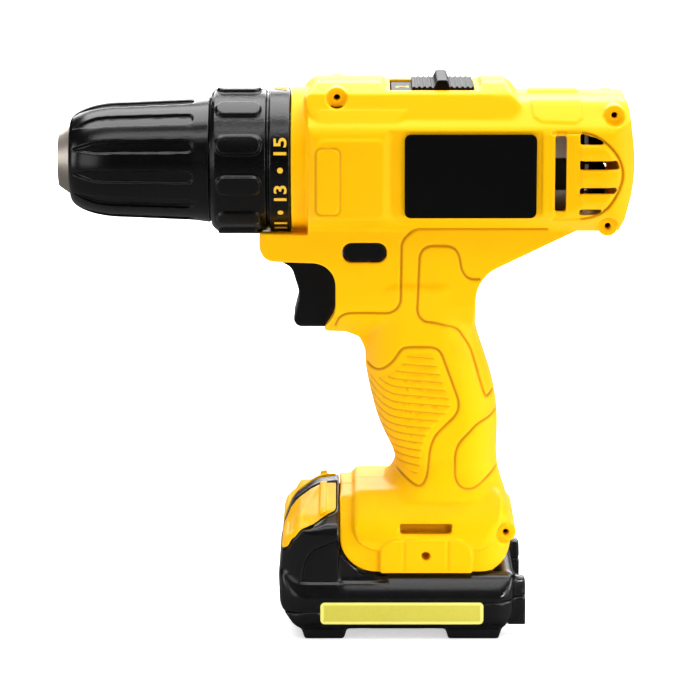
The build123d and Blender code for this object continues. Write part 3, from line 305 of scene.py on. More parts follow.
collar_black = plastic(
    "collar_black", *BLACKS, roughness=0.23, spread=0.08, grain_scale=1150.0, grain_height=0.00024)
slide_black = plastic(
    "slide_black", *BLACKS, roughness=0.45, spread=0.10, grain_scale=2300.0, grain_height=0.00007,
    specular=0.14)
case_black = plastic(
    "case_black", BLACK_SHADE, CASE_SHADE, BLACK_WORN, roughness=0.21, spread=0.08, grain_scale=1700.0,
    grain_height=0.00009)
plate_black = plastic(
    "plate_black", PLATE, PLATE_SHADE, BLACK_SHADE, roughness=0.5, spread=0.05, grain_scale=3000.0,
    grain_height=0.00001, specular=0.06)
number_yellow = plastic(
    "number_yellow", PRINT, PRINT_SHADE, YELLOW_WORN, roughness=0.5, spread=0.05, grain_scale=2600.0,
    grain_height=0.00001)
lead_black = plastic(
    "lead_black", LEAD_COVER, LEAD_SHADE, BLACK_WORN, roughness=0.5, spread=0.1, grain_scale=2000.0,
    grain_height=0.00004)
nose_steel = metal("nose_steel", (0.72, 0.65, 0.57), (0.60, 0.54, 0.47), roughness=0.34)
plain_steel = metal("plain_steel", (0.48, 0.48, 0.49), (0.36, 0.36, 0.37), roughness=0.32)
can_steel = metal("can_steel", (0.70, 0.70, 0.70), (0.55, 0.55, 0.56), roughness=0.34)
cast_alloy = metal("cast_alloy", (0.58, 0.58, 0.58), (0.46, 0.46, 0.46), roughness=0.46, line_depth=0.00003)
yellow_metal = metal("yellow_metal", (0.72, 0.52, 0.22), (0.60, 0.42, 0.16), roughness=0.30)
# The housing screws are painted near black, as painted shade in their deep holes.
screw_painted_shade = metal("screw_painted_shade", (0.020, 0.020, 0.021), (0.012, 0.012, 0.012), roughness=0.48)
magnet_dark = metal("magnet_dark", (0.06, 0.06, 0.065), (0.04, 0.04, 0.045), roughness=0.5)
print(len(bpy.data.materials), "materials so far")

# %% [markdown]
# The battery strip is a printed film: a dull olive-yellow field with a paler rim that follows its edge. A
# mask from the distance to the strip's outline draws the rim.

# %% Battery strip
STRIP_MIDDLE = (0.01885, 0.0, 0.0093)
STRIP_FIELD = (0.0258, 0.0028)
STRIP_BLUR = 0.0002
STRIP_INK = (0.55, 0.49, 0.052, 1)
STRIP_PALER_INK = (0.60, 0.54, 0.068, 1)
STRIP_RIM = (0.80, 0.74, 0.17, 1)
strip_pale, tree, shader = new_material("strip_pale", roughness=0.45, specular=0.3)
strip_place = own_place(tree)
strip_shift = add_node(tree, "VectorMath", {1: STRIP_MIDDLE}, operation="SUBTRACT")
strip_size = add_node(tree, "VectorMath", operation="ABSOLUTE")
strip_axes = add_node(tree, "SeparateXYZ")
strip_rim = add_node(tree, "Math", operation="MAXIMUM")
for i, (axis, half) in enumerate(zip("XZ", STRIP_FIELD)):
    beyond = add_node(tree, "MapRange", {"From Min": half - STRIP_BLUR, "From Max": half + STRIP_BLUR})
    join(tree, (strip_axes.outputs[axis], beyond.inputs["Value"]), (beyond.outputs[0], strip_rim.inputs[i]))
strip_print = add_node(tree, "TexNoise", {"Scale": 900.0})
strip_field = add_node(tree, "Mix", {"A": STRIP_INK, "B": STRIP_PALER_INK}, data_type="RGBA")
strip_colour = add_node(tree, "Mix", {"B": STRIP_RIM}, data_type="RGBA")
strip_bump = add_node(tree, "Bump", {"Strength": 0.1, "Distance": 0.00002})
join(
    tree,
    (strip_place, strip_shift.inputs[0]),
    (strip_shift.outputs[0], strip_size.inputs[0]),
    (strip_size.outputs[0], strip_axes.inputs[0]),
    (strip_place, strip_print.inputs["Vector"]),
    (strip_print.outputs["Fac"], strip_field.inputs["Factor"]),
    (strip_rim.outputs[0], strip_colour.inputs["Factor"]),
    (strip_field.outputs["Result"], strip_colour.inputs["A"]),
    (strip_colour.outputs["Result"], shader.inputs["Base Color"]),
    (strip_print.outputs["Fac"], strip_bump.inputs["Height"]),
    (strip_bump.outputs["Normal"], shader.inputs["Normal"]),
)

# %% [markdown]
# Through the slot in the barrel the motor can shows as bright zinc-plated steel. Zinc is duller than bare
# steel, so it is only partly metallic. Its window at mid height is painted shade: a near-black band painted
# on the can, drawn as a mask from the place on the can: far enough back, and near the spindle's height.

# %% Motor can
WINDOW_FROM_X = 0.0655
WINDOW_HEIGHT = (0.1477, 0.1590)
WINDOW_BLUR = 0.0004
# The near-black colour of the window's painted shade.
WINDOW_PAINTED_SHADE = (0.012, 0.012, 0.012, 1)
window_can = metal("window_can", (0.84, 0.83, 0.81), (0.72, 0.72, 0.72), roughness=0.42, metallic=0.3)
tree = window_can.node_tree
shader = tree.nodes["Principled BSDF"]
can_colour = shader.inputs["Base Color"].links[0].from_socket
can_axes = add_node(tree, "SeparateXYZ")
join(tree, (own_place(tree), can_axes.inputs[0]))
can_masks = []
for axis, start, blur in (
    ("X", WINDOW_FROM_X, WINDOW_BLUR),
    ("Z", WINDOW_HEIGHT[0], WINDOW_BLUR),
    ("Z", WINDOW_HEIGHT[1], -WINDOW_BLUR),
):
    mask = add_node(tree, "MapRange", {"From Min": start, "From Max": start + blur})
    join(tree, (can_axes.outputs[axis], mask.inputs["Value"]))
    can_masks.append(mask.outputs[0])
can_window_shade = can_masks[0]
for mask in can_masks[1:]:
    both = add_node(tree, "Math", operation="MULTIPLY")
    join(tree, (can_window_shade, both.inputs[0]), (mask, both.inputs[1]))
    can_window_shade = both.outputs[0]
# Mix the window's painted shade into the can's colour.
can_mix = add_node(tree, "Mix", {"B": WINDOW_PAINTED_SHADE}, data_type="RGBA")
join(
    tree,
    (can_window_shade, can_mix.inputs["Factor"]),
    (can_colour, can_mix.inputs["A"]),
    (can_mix.outputs["Result"], shader.inputs["Base Color"]),
)
print(window_can.name, len(tree.nodes), "nodes")

# %% [markdown]
# The lamp lens is clear plastic. What makes it clear are plain numbers on the shader, and only a faint ripple
# of its surface is linked.

# %% Lamp lens
LENS_TINT = (0.95, 0.97, 1.0, 1)
LENS_CLEARNESS = 0.9
LENS_INDEX = 1.49
lens_clear, tree, shader = new_material("lens_clear", roughness=0.06)
shader.inputs["Base Color"].default_value = LENS_TINT
shader.inputs["Transmission Weight"].default_value = LENS_CLEARNESS
shader.inputs["IOR"].default_value = LENS_INDEX
ripple = add_node(tree, "TexNoise", {"Scale": 700.0})
ripple_bump = add_node(tree, "Bump", {"Strength": 0.1, "Distance": 0.00003})
join(
    tree,
    (own_place(tree), ripple.inputs["Vector"]),
    (ripple.outputs["Fac"], ripple_bump.inputs["Height"]),
    (ripple_bump.outputs["Normal"], shader.inputs["Normal"]),
)

# %% [markdown]
# Every CAD node gets one of these finishes, by the slot that the CAD gives it or, for a few, by its name. The
# nodes that stay are mostly inside, seen only through the vents or when the tool is opened.

# %% Finishes on the CAD nodes
FINISH_OF_SLOT = {
    "yellow_plastic": shell_yellow,
    "black_plastic": grip_black,
    "steel": plain_steel,
    "cast_alloy": cast_alloy,
    "brass": yellow_metal,
    "black_ceramic": magnet_dark,
    "lead_cover": lead_black,
    "pale_label": strip_pale,
    "clear_lens": lens_clear,
}
FINISH_OF_NODE = {
    "chuck_body": nose_steel,
    # The screws take the near-black colour that paints shade in their holes.
    "housing_screws": screw_painted_shade,
    "motor_can": window_can,
    "label_plates": plate_black,
    "battery_cells": can_steel,
}


def paint(piece, material):
    piece.data.materials.clear()
    piece.data.materials.append(material)


for part in frame["record"]["subparts"]:
    node = part["node"]
    paint(nodes[node], FINISH_OF_NODE.get(node, FINISH_OF_SLOT[part["material_slot"]]))
print("painted", len(nodes), "CAD nodes")

# %% [markdown]
# Moulded parts have no sharp edges. The CAD solids carry every wall and cut but with crisp corners, so a
# copy of each outer moulding is turned into a fine even mesh and relaxed: that rounds every edge by a
# fraction of a millimetre, the way a mould does. A hidden bore that would show through can be plugged first.
# The mesh is then thinned where it is flat, and each point stores if it lies on an outer edge.

# %% Soft moulding from a CAD node
PLUG_RADIUS = 0.0016
PLUG_LENGTH = 0.0026
WELD = 0.000002
RELAX = 0.5
EDGE_FROM = 0.12
EDGE_SPAN = 0.5


def only(piece):
    """Make one object the only selected and active one."""
    bpy.ops.object.select_all(action="DESELECT")
    piece.select_set(True)
    bpy.context.view_layer.objects.active = piece


def open_mesh(piece):
    """Open the mesh of one object for editing, with all of it selected."""
    only(piece)
    bpy.ops.object.mode_set(mode="EDIT")
    bpy.ops.mesh.select_all(action="SELECT")


def close_mesh():
    bpy.ops.object.mode_set(mode="OBJECT")


def apply_modifier(piece, kind, **values):
    modifier = piece.modifiers.new(kind.lower(), kind)
    for key, value in values.items():
        setattr(modifier, key, value)
    only(piece)
    bpy.ops.object.modifier_apply(modifier=modifier.name)


def soft_moulding(node, voxel, passes, material, plug=None):
    """Even, relaxed copy of a CAD node with its finish, with a hidden bore plugged if asked."""
    piece = add_object(node + "_moulding", nodes[node].data.copy())
    open_mesh(piece)
    bpy.ops.mesh.remove_doubles(threshold=WELD)
    if plug:
        bpy.ops.mesh.primitive_cylinder_add(
            radius=PLUG_RADIUS, depth=PLUG_LENGTH, location=plug, rotation=(pi / 2, 0, 0))
    close_mesh()
    apply_modifier(piece, "REMESH", mode="VOXEL", voxel_size=voxel)
    apply_modifier(piece, "SMOOTH", factor=RELAX, iterations=passes)
    paint(piece, material)
    return piece


def vertex_values(piece, name):
    """One row of three for each vertex, its place or its normal."""
    flat = np.empty(len(piece.data.vertices) * 3, np.float32)
    piece.data.vertices.foreach_get(name, flat)
    return flat.reshape(-1, 3)


def points_of(piece):
    """Vertex places in millimetres, and normals."""
    return vertex_values(piece, "co") / MM, vertex_values(piece, "normal")


def put_points(piece, places):
    piece.data.vertices.foreach_set("co", (places * MM).astype(np.float32).ravel())
    piece.data.update()


def mark_edges(piece):
    """Store how far each point stands out from its neighbours, 0 on flats and 1 on outer edges."""
    mesh = piece.data
    count = len(mesh.vertices)
    places, normals = points_of(piece)
    pairs = np.empty(len(mesh.edges) * 2, np.int32)
    mesh.edges.foreach_get("vertices", pairs)
    a, b = pairs.reshape(-1, 2).T
    lengths = np.linalg.norm(places[a] - places[b], axis=1)
    total = np.zeros((count, 3))
    reach = np.zeros(count)
    links = np.zeros(count)
    for one, other in ((a, b), (b, a)):
        np.add.at(total, one, places[other])
        np.add.at(reach, one, lengths)
        np.add.at(links, one, 1)
    links = np.maximum(links, 1)
    step = total / links[:, None] - places
    bend = -np.einsum("ij,ij->i", step, normals) / np.maximum((reach / links) ** 2, 1e-6)
    edge = np.clip((bend - EDGE_FROM) / EDGE_SPAN, 0, 1)
    soft = np.zeros(count)
    for one, other in ((a, b), (b, a)):
        np.add.at(soft, one, edge[other])
    edge = 0.5 * edge + 0.5 * soft / links
    stored = mesh.attributes.new("edge", "FLOAT", "POINT")
    stored.data.foreach_set("value", edge.astype(np.float32))


def thin_out(piece, most):
    """Fewer triangles where the surface is plain, then smooth shading."""
    piece.data.calc_loop_triangles()
    count = len(piece.data.loop_triangles)
    if count > most:
        apply_modifier(piece, "DECIMATE", ratio=most / count)
    only(piece)
    bpy.ops.object.shade_smooth()
    mark_edges(piece)
    piece.data.calc_loop_triangles()
    print(piece.name, len(piece.data.loop_triangles), "triangles")


def stand_for(piece, node):
    """Let a piece ride on a CAD node's body and take that node's place."""
    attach(piece, nodes[node]["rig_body"])
    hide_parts(node)


# %% [markdown]
# Panel lines, ribs and vents are drawn in the side view, in millimetres, and pressed into the fine mesh: a
# point near a line sinks along its normal. These helpers round the corners of a drawn line, measure how far
# each point is from it and tell which points it surrounds. The rest turn a distance or a range into a soft
# weight.

# %% Drawing in the side view


def rounded_line(points, corner=2.2, steps=6):
    """A drawn line with each corner rounded off over a short reach."""
    drawn = [np.array(point, float) for point in points]
    out = [drawn[0]]
    for before, at, after in zip(drawn[:-2], drawn[1:-1], drawn[2:]):
        back, ahead = before - at, after - at
        start = at + back * min(0.5, corner / np.linalg.norm(back))
        end = at + ahead * min(0.5, corner / np.linalg.norm(ahead))
        for k in range(steps + 1):
            share = k / steps
            out.append((1 - share) ** 2 * start + 2 * share * (1 - share) * at + share ** 2 * end)
    out.append(drawn[-1])
    return np.array(out)


def distance_to_line(spots, line):
    """Shortest distance from each (x, z) spot to a drawn line."""
    best = np.full(len(spots), np.inf)
    for a, b in zip(line[:-1], line[1:]):
        run = b - a
        share = np.clip(((spots - a) @ run) / max(run @ run, 1e-9), 0, 1)
        best = np.minimum(best, np.hypot(*(spots - a - share[:, None] * run).T))
    return best


def inside_line(spots, line):
    """True for each (x, z) spot inside a closed drawn line."""
    inside = np.zeros(len(spots), bool)
    for a, b in zip(line, np.roll(line, -1, axis=0)):
        crosses = (a[1] > spots[:, 1]) != (b[1] > spots[:, 1])
        reach = (b[0] - a[0]) * (spots[:, 1] - a[1]) / (b[1] - a[1] + 1e-12) + a[0]
        inside ^= crosses & (spots[:, 0] < reach)
    return inside


def ease(share):
    """Soft step from 0 to 1."""
    share = np.clip(share, 0, 1)
    return share * share * (3 - 2 * share)


def hump(values, low, high, rise, fall):
    """1 between two values and 0 beyond them, eased over the lengths of its two flanks."""
    return ease((values - low) / rise) * ease((high - values) / fall)


def between(values, low, high):
    return (values > low) & (values < high)


def stroke(gap, width):
    """1 on a drawn line and 0 away from it, from the distance to the line."""
    return np.exp(-(gap / width) ** 2)


# %% [markdown]
# The grip's panel lines and its ribbed field are moulded into both shells. The lines sink, and the ribs rise
# as low steps inside their field, curving up towards the front and fading out at its border.

# %% Panel lines of the grip
BARREL_LINE = [
    (66.0, 135.5), (22.6, 135.5), (18.6, 131.5), (18.3, 110.2), (15.4, 107.2), (0.9, 107.4), (-1.9, 105.7),
    (-3.0, 102.4),
]
THUMB_PANEL = [
    (44.1, 118.8), (40.6, 118.8), (38.3, 121.2), (37.2, 127.6), (34.8, 129.9), (26.9, 129.9), (24.5, 127.6),
    (23.7, 107.0), (25.9, 104.4), (29.1, 104.2), (37.0, 102.0), (41.5, 94.9), (45.0, 82.8), (46.2, 78.9),
    (47.2, 78.3), (49.7, 80.6),
]
RIB_PANEL = [
    (5.6, 90.3), (9.6, 87.6), (12.4, 88.0), (15.6, 90.6), (18.6, 95.3), (20.2, 95.9), (29.2, 95.9),
    (31.6, 94.3), (37.8, 77.0), (37.0, 73.2), (29.6, 65.8), (28.1, 61.0), (27.3, 52.4), (25.7, 49.4),
    (23.6, 49.2), (15.0, 54.3),
]
RIB_FIELD_FRONT = [(10.0, 53.0), (1.0, 88.0)]
HEEL_PANEL = [
    (53.0, 76.0), (48.8, 71.8), (43.9, 69.9), (37.6, 63.4), (36.4, 59.4), (36.4, 52.0), (37.7, 49.3),
    (40.4, 48.2), (43.6, 48.7), (53.0, 55.6),
]
LINE_WIDTH = 0.42
LINE_DEPTH = 0.62
RIB_PITCH = 2.63
RIB_FIRST = 93.14
RIB_HEIGHT = 0.5
RIB_STEEP_SHARE = 0.16
RIB_FACING = 0.35
RIB_MARGIN = 2.4
RIB_FADE = 0.8
RIB_FIELD_FOOT = 53.0
RIB_SLOPE = -0.085
RIB_TURN_X = 17.0
RIB_TURN = 0.064
GRIP_HEIGHTS = (44.0, 137.0)
GRIP_LEAST_Y = 7.0
GRIP_FACING = 0.12


def grip_points(piece, side):
    """The outer points of the grip and head, and their places in the side view."""
    places, normals = points_of(piece)
    outside = (normals[:, 1] * side > GRIP_FACING) & (places[:, 1] * side > GRIP_LEAST_Y)
    chosen = np.where(outside & between(places[:, 2], *GRIP_HEIGHTS))[0]
    return places, normals, chosen, places[chosen][:, [0, 2]]


def grip_lines(spots):
    """1 on a panel line, 0 away from it."""
    gap = np.full(len(spots), np.inf)
    for drawn in (BARREL_LINE, THUMB_PANEL, RIB_PANEL, HEEL_PANEL):
        gap = np.minimum(gap, distance_to_line(spots, rounded_line(drawn)))
    return stroke(gap, LINE_WIDTH)


def grip_ribs(spots):
    """Share of a rib's pitch from its lower edge, and how much of the rib is left there."""
    edge = rounded_line(RIB_PANEL)
    field = inside_line(spots, np.vstack([edge, RIB_FIELD_FRONT])) & (spots[:, 1] > RIB_FIELD_FOOT)
    fade = ease((distance_to_line(spots, edge) - RIB_MARGIN) / RIB_FADE) * field
    ahead = RIB_TURN_X - spots[:, 0]
    course = RIB_TURN * np.clip(ahead, 0, None) ** 2 - RIB_SLOPE * ahead
    return ((spots[:, 1] - course - RIB_FIRST) / RIB_PITCH) % 1.0, fade


def press_grip(piece, side):
    """Sink the panel lines and raise the stepped ribs on one shell."""
    places, normals, chosen, spots = grip_points(piece, side)
    share, fade = grip_ribs(spots)
    step = np.where(share < RIB_STEEP_SHARE, share / RIB_STEEP_SHARE, (1 - share) / (1 - RIB_STEEP_SHARE))
    facing = ease((normals[chosen][:, 1] * side - RIB_FACING) / RIB_FACING)
    rise = RIB_HEIGHT * fade * step * facing - LINE_DEPTH * grip_lines(spots)
    places[chosen] += normals[chosen] * rise[:, None]
    put_points(piece, places)
    print(piece.name, "grip points", len(chosen))


# %% [markdown]
# At the rear of the barrel a D-shaped vent lets the cooling air out between three bulged fins. Above it a
# smooth patch stands a little proud of the shoulder, and the belt hook's pad on the foot is scored by two
# short lines. Where a line, the foot of a rib, the rim of the head's front pad or the slot for the hook lies
# is also stored in the mesh, so that the material paints shade there.

# %% Vent, shoulder and foot
VENT_LINE = [
    (67.2, 168.2), (76.1, 168.5), (81.0, 167.5), (86.0, 163.7), (89.3, 158.8), (90.3, 153.8), (88.7, 148.8),
    (85.3, 143.7), (80.4, 140.2), (72.5, 139.4), (67.6, 139.7),
]
VENT_CORNER = 4.0
VENT_DEPTH = 0.9
VENT_HEIGHTS = (137.0, 171.0)
VENT_FROM_X = 62.0
VENT_LEAST_Y = 14.0
VENT_FACING = 0.05
# Each fin: the height of its middle, and half its width.
FINS = [(161.6, 2.9), (153.6, 2.8), (146.3, 2.5)]
FIN_BULGE = 0.9
FIN_FROM_X = 75.8
FIN_RIM = 0.5
FIN_FADE = 1.2
SHOULDER_PATCH = [(59.0, 180.5), (60.6, 172.3), (63.4, 170.7), (74.8, 170.4), (77.2, 172.0), (77.5, 180.5)]
SHOULDER_FROM = (56.0, 168.0)
SHOULDER_LEAST_Y = 5.0
SHOULDER_FACING = 0.4
PATCH_RISE = 0.5
PATCH_FADE = 1.1
PAD_SCORES = [[(19.5, 23.1), (19.5, 33.0)], [(33.9, 23.1), (33.9, 33.0)]]
PAD_HEIGHTS = (21.0, 35.0)
PAD_LEAST_Y = 24.0
PAD_FACING = 0.5
SCORE_DEPTH = 0.5
SCORE_WIDTH = 0.45


def vent_points(spots, depth, outward):
    """The outer points round the vent: their numbers, distance to its rim, and if they are inside."""
    outer = (outward > VENT_FACING) & (depth > VENT_LEAST_Y)
    vent = np.where(outer & (spots[:, 0] > VENT_FROM_X) & between(spots[:, 1], *VENT_HEIGHTS))[0]
    line = rounded_line(VENT_LINE, VENT_CORNER)
    return vent, distance_to_line(spots[vent], line), inside_line(spots[vent], line)


def press_barrel(piece, side):
    """Outline the vent, round its fins, raise the shoulder patch and score the foot's pad on one shell."""
    places, normals = points_of(piece)
    depth = places[:, 1] * side
    outward = normals[:, 1] * side
    spots = places[:, [0, 2]]
    lift = np.zeros(len(places))

    vent, gap, within = vent_points(spots, depth, outward)
    across, up = spots[vent].T
    lift[vent] -= VENT_DEPTH * stroke(gap, LINE_WIDTH)
    rim, back = ease((gap - FIN_RIM) / FIN_FADE), ease((across - FIN_FROM_X) / FIN_FADE)
    for middle, half in FINS:
        arch = np.clip(1 - ((up - middle) / half) ** 2, 0, 1)
        lift[vent] += FIN_BULGE * arch * within * rim * back

    shoulder = (spots[:, 0] > SHOULDER_FROM[0]) & (spots[:, 1] > SHOULDER_FROM[1])
    facing = normals[:, 2] + outward > SHOULDER_FACING
    upper = np.where(facing & (depth > SHOULDER_LEAST_Y) & shoulder)[0]
    line = np.array(SHOULDER_PATCH)
    near = distance_to_line(spots[upper], line)
    lift[upper] += PATCH_RISE * inside_line(spots[upper], line) * ease(near / PATCH_FADE)

    on_pad = (outward > PAD_FACING) & (depth > PAD_LEAST_Y)
    foot = np.where(on_pad & between(spots[:, 1], *PAD_HEIGHTS))[0]
    for score in PAD_SCORES:
        lift[foot] -= SCORE_DEPTH * stroke(distance_to_line(spots[foot], np.array(score)), SCORE_WIDTH)
    places += normals * lift[:, None]
    put_points(piece, places)
    print(piece.name, "vent points", len(vent), "patch points", len(upper), "foot points", len(foot))


# Painted shade: its width and strength at the feet of the ribs, and where it starts at the vent.
RIB_FOOT_WIDTH = 0.30
RIB_FOOT_SHADE = 0.8
VENT_SHADE_FROM_X = 76.5
FRONT_PAD_RIM = [
    (-5.0, 141.7), (-1.4, 141.7), (-1.4, 163.4), (-9.3, 163.4), (-9.3, 141.7), (-5.0, 141.7),
]
FRONT_PAD_TO_X = 1.0
FRONT_PAD_FROM_Z = 138.0
FRONT_PAD_LEAST_Y = 18.0
FRONT_RIM_WIDTH = 0.4
FRONT_RIM_SHADE = 0.7
HOOK_SLOT = ((18.0, 35.5), (22.0, 27.1), (34.2, 38.4))


def shade_lines(piece, side):
    """Store the painted shade of the lines, the ribs' feet, the rims and the hook's slot for the material."""
    places, normals, chosen, spots = grip_points(piece, side)
    x, y, z = places.T
    depth = y * side
    groove_shade = np.zeros(len(places), np.float32)
    share, fade = grip_ribs(spots)
    foot = stroke(np.minimum(share, 1 - share) * RIB_PITCH, RIB_FOOT_WIDTH) * fade
    groove_shade[chosen] = np.maximum(grip_lines(spots), RIB_FOOT_SHADE * foot)
    vent, gap, _ = vent_points(places[:, [0, 2]], depth, normals[:, 1] * side)
    groove_shade[vent] = stroke(gap, LINE_WIDTH) * (x[vent] > VENT_SHADE_FROM_X)
    face = np.where((depth > FRONT_PAD_LEAST_Y) & (x < FRONT_PAD_TO_X) & (z > FRONT_PAD_FROM_Z))[0]
    to_rim = distance_to_line(places[face][:, [0, 2]], rounded_line(FRONT_PAD_RIM))
    groove_shade[face] = FRONT_RIM_SHADE * stroke(to_rim, FRONT_RIM_WIDTH)
    # The hook's slot is painted in full shade.
    groove_shade[between(x, *HOOK_SLOT[0]) & between(depth, *HOOK_SLOT[1]) & between(z, *HOOK_SLOT[2])] = 1.0
    piece.data.attributes.new("groove_shade", "FLOAT", "POINT").data.foreach_set("value", groove_shade)


# %% [markdown]
# The grip flows into the foot below and into the head above in one sweep, and the ridge on top of the barrel
# ends in a soft round nose. The outer points round those corners are relaxed many more times than the rest,
# with a weight that fades out all round.

# %% Sweeps of the shells
SWEEP_PASSES = 70
WEIGHT_STEPS = 10
# Each sweep: from, to, and the lengths over which its weight rises and falls.
FOOT_SWEEP_Z = (33.0, 57.0, 6.0, 6.0)
FOOT_X = (-1.0, 56.0)
FOOT_UPWARD = 0.2
FOOT_OUTWARD = 0.25
FOOT_LEAST_Y = 2.0
HEAD_SWEEP_Z = (90.0, 112.0, 5.0, 6.0)
HEAD_FROM_X = 4.0
HEAD_OUTWARD = 0.1
HEAD_LEAST_Y = 7.0
RIDGE_SWEEP_X = (46.0, 62.0, 4.0, 3.0)
RIDGE_FROM_Z = 169.0
RIDGE_RUN = 4.0
RIDGE_LEAST_Y = 1.0
PARTING_RUN = 3.0
GRIP_MIDDLE_X = 30.0
GRIP_REACH = 28.0


def relax_where(piece, weight, passes):
    """Smooth a piece many times, as far as each point's weight lets it move."""
    group = piece.vertex_groups.new(name="relax")
    level = np.round(weight * WEIGHT_STEPS).astype(int)
    for step in range(1, WEIGHT_STEPS + 1):
        group.add([int(i) for i in np.where(level == step)[0]], step / WEIGHT_STEPS, "REPLACE")
    apply_modifier(piece, "SMOOTH", factor=RELAX, iterations=passes, vertex_group=group.name)
    piece.vertex_groups.clear()


def sweep_shell(piece, side):
    """Relax the corners of one shell at the foot, the head and the ridge."""
    places, normals = points_of(piece)
    x, y, z = places.T
    depth = y * side
    from_grip = (x - GRIP_MIDDLE_X) / GRIP_REACH * normals[:, 0] + y / GRIP_REACH * normals[:, 1]
    from_spindle = y * normals[:, 1] + (z - SPINDLE_Z / MM) * normals[:, 2]
    foot = hump(z, *FOOT_SWEEP_Z) * ease((depth - FOOT_LEAST_Y) / PARTING_RUN)
    foot *= ((normals[:, 2] > FOOT_UPWARD) | (from_grip > FOOT_OUTWARD)) & between(x, *FOOT_X)
    head = hump(z, *HEAD_SWEEP_Z) * ease((depth - HEAD_LEAST_Y) / PARTING_RUN)
    head *= (from_grip > HEAD_OUTWARD) & (x > HEAD_FROM_X)
    ridge = hump(x, *RIDGE_SWEEP_X) * ease((z - RIDGE_FROM_Z) / RIDGE_RUN)
    ridge *= (from_spindle > 0) * ease((depth - RIDGE_LEAST_Y) / PARTING_RUN)
    weight = np.maximum(np.maximum(foot, head), ridge)
    relax_where(piece, weight, SWEEP_PASSES)
    print(piece.name, "sweep points", int((weight > 0).sum()))


# %% [markdown]
# The two yellow shells are large injection mouldings. Each keeps the CAD half's walls and holes, gets edges
# rounded by the relaxing passes, and then its lines, ribs, fins and patch.

# %% Yellow shells
SHELL_VOXEL = 0.00038
SHELL_PASSES = 5
SHELL_TRIANGLES = 195000
for node, side in (("left_housing", -1), ("right_housing", 1)):
    shell = soft_moulding(node, SHELL_VOXEL, SHELL_PASSES, shell_yellow)
    sweep_shell(shell, side)
    press_grip(shell, side)
    press_barrel(shell, side)
    thin_out(shell, SHELL_TRIANGLES)
    shade_lines(shell, side)
    stand_for(shell, node)

# %% [markdown]
# The black mouldings are softened the same way: the fluted sleeve, the padded collar, the trigger, the
# cross lever and the two halves of the battery case. The battery's long shoulder is rounded further. Its
# tower has a sunk side panel under a thick rounded border, and a crown that falls to both flanks at the
# front, so those points move in and down.

# %% Black mouldings
PANEL_EDGE = [(-0.4, 35.0), (-7.1, 32.2), (-10.5, 30.7), (-12.8, 28.2), (-14.1, 24.3), (-14.5, 20.3)]
PANEL_CLOSE = [(-14.5, 19.0), (14.0, 19.0), (14.0, 35.0)]
PANEL_DEPTH = 1.4
PANEL_FADE = 1.0
PANEL_FACING = 0.3
PANEL_LEAST_Y = 27.0
CROWN_DROP = 1.7
CROWN_FROM_X = -5.0
CROWN_FROM_Z = 36.0
CROWN_RUN = 6.0
FRONT_DROP = 2.6
FRONT_FROM_X = -14.5
FRONT_FROM_Z = 33.0
FRONT_RUN = 3.0
FLANK_FROM_Y = 3.5
FLANK_RUN = 10.0
DECK_SWEEP_Z = (14.5, 24.5, 2.0, 2.5)
DECK_MIDDLE_X = 17.0
DECK_HALVES = (39.0, 32.0)
DECK_INNER_X = (-8.0, 50.0)
DECK_INNER_Y = 24.0
DECK_OUTWARD = 0.2
DECK_UPWARD = 0.3


def press_tower(piece):
    """Sink the tower's side panel on both flanks of the battery."""
    places, normals = points_of(piece)
    side = np.sign(places[:, 1])
    spots = places[:, [0, 2]]
    edge = rounded_line(PANEL_EDGE)
    flank = (normals[:, 1] * side > PANEL_FACING) & (np.abs(places[:, 1]) > PANEL_LEAST_Y)
    chosen = flank & inside_line(spots, np.vstack([edge, PANEL_CLOSE]))
    places[:, 1] -= side * (PANEL_DEPTH * ease(distance_to_line(spots, edge) / PANEL_FADE) * chosen)
    put_points(piece, places)
    print(piece.name, "panel points", int(chosen.sum()))


def crown_tower(piece):
    """Let the front of the battery tower fall away from its middle to both flanks."""
    places = points_of(piece)[0]
    x, y, z = places.T
    top = CROWN_DROP * ease((CROWN_FROM_X - x) / CROWN_RUN) * ease((z - CROWN_FROM_Z) / CROWN_RUN)
    front = FRONT_DROP * ease((FRONT_FROM_X - x) / FRONT_RUN) * ease((z - FRONT_FROM_Z) / CROWN_RUN)
    places[:, 2] -= (top + front) * ease((np.abs(y) - FLANK_FROM_Y) / FLANK_RUN)
    put_points(piece, places)


def round_deck(piece):
    """Relax the long shoulder of the battery case into a broad round edge."""
    places, normals = points_of(piece)
    x, y, z = places.T
    outward = (x - DECK_MIDDLE_X) / DECK_HALVES[0] * normals[:, 0] + y / DECK_HALVES[1] * normals[:, 1]
    rim = (np.abs(y) > DECK_INNER_Y) | (x < DECK_INNER_X[0]) | (x > DECK_INNER_X[1])
    outer = (outward > DECK_OUTWARD) | (normals[:, 2] > DECK_UPWARD)
    relax_where(piece, hump(z, *DECK_SWEEP_Z) * rim * outer, SWEEP_PASSES)


# Node, voxel in metres, relaxing passes, finish, and the most triangles.
BLACK_MOULDINGS = [
    ("chuck_sleeve", 0.00028, 10, grip_black, 140000),
    ("clutch_collar", 0.00030, 6, collar_black, 130000),
    ("trigger", 0.00030, 14, grip_black, 40000),
    ("direction_lever", 0.00028, 8, grip_black, 30000),
    ("battery_top_case", 0.00042, 12, case_black, 170000),
    ("battery_base", 0.00045, 8, case_black, 110000),
]
for node, voxel, passes, finish, most in BLACK_MOULDINGS:
    piece = soft_moulding(node, voxel, passes, finish)
    if node == "battery_top_case":
        round_deck(piece)
        press_tower(piece)
        crown_tower(piece)
    thin_out(piece, most)
    stand_for(piece, node)

# %% [markdown]
# The speed slide has fine cross ribs for the thumb on both sides of its raised bar. They are raised from
# the even mesh as a wave along X, only on the top of the button.

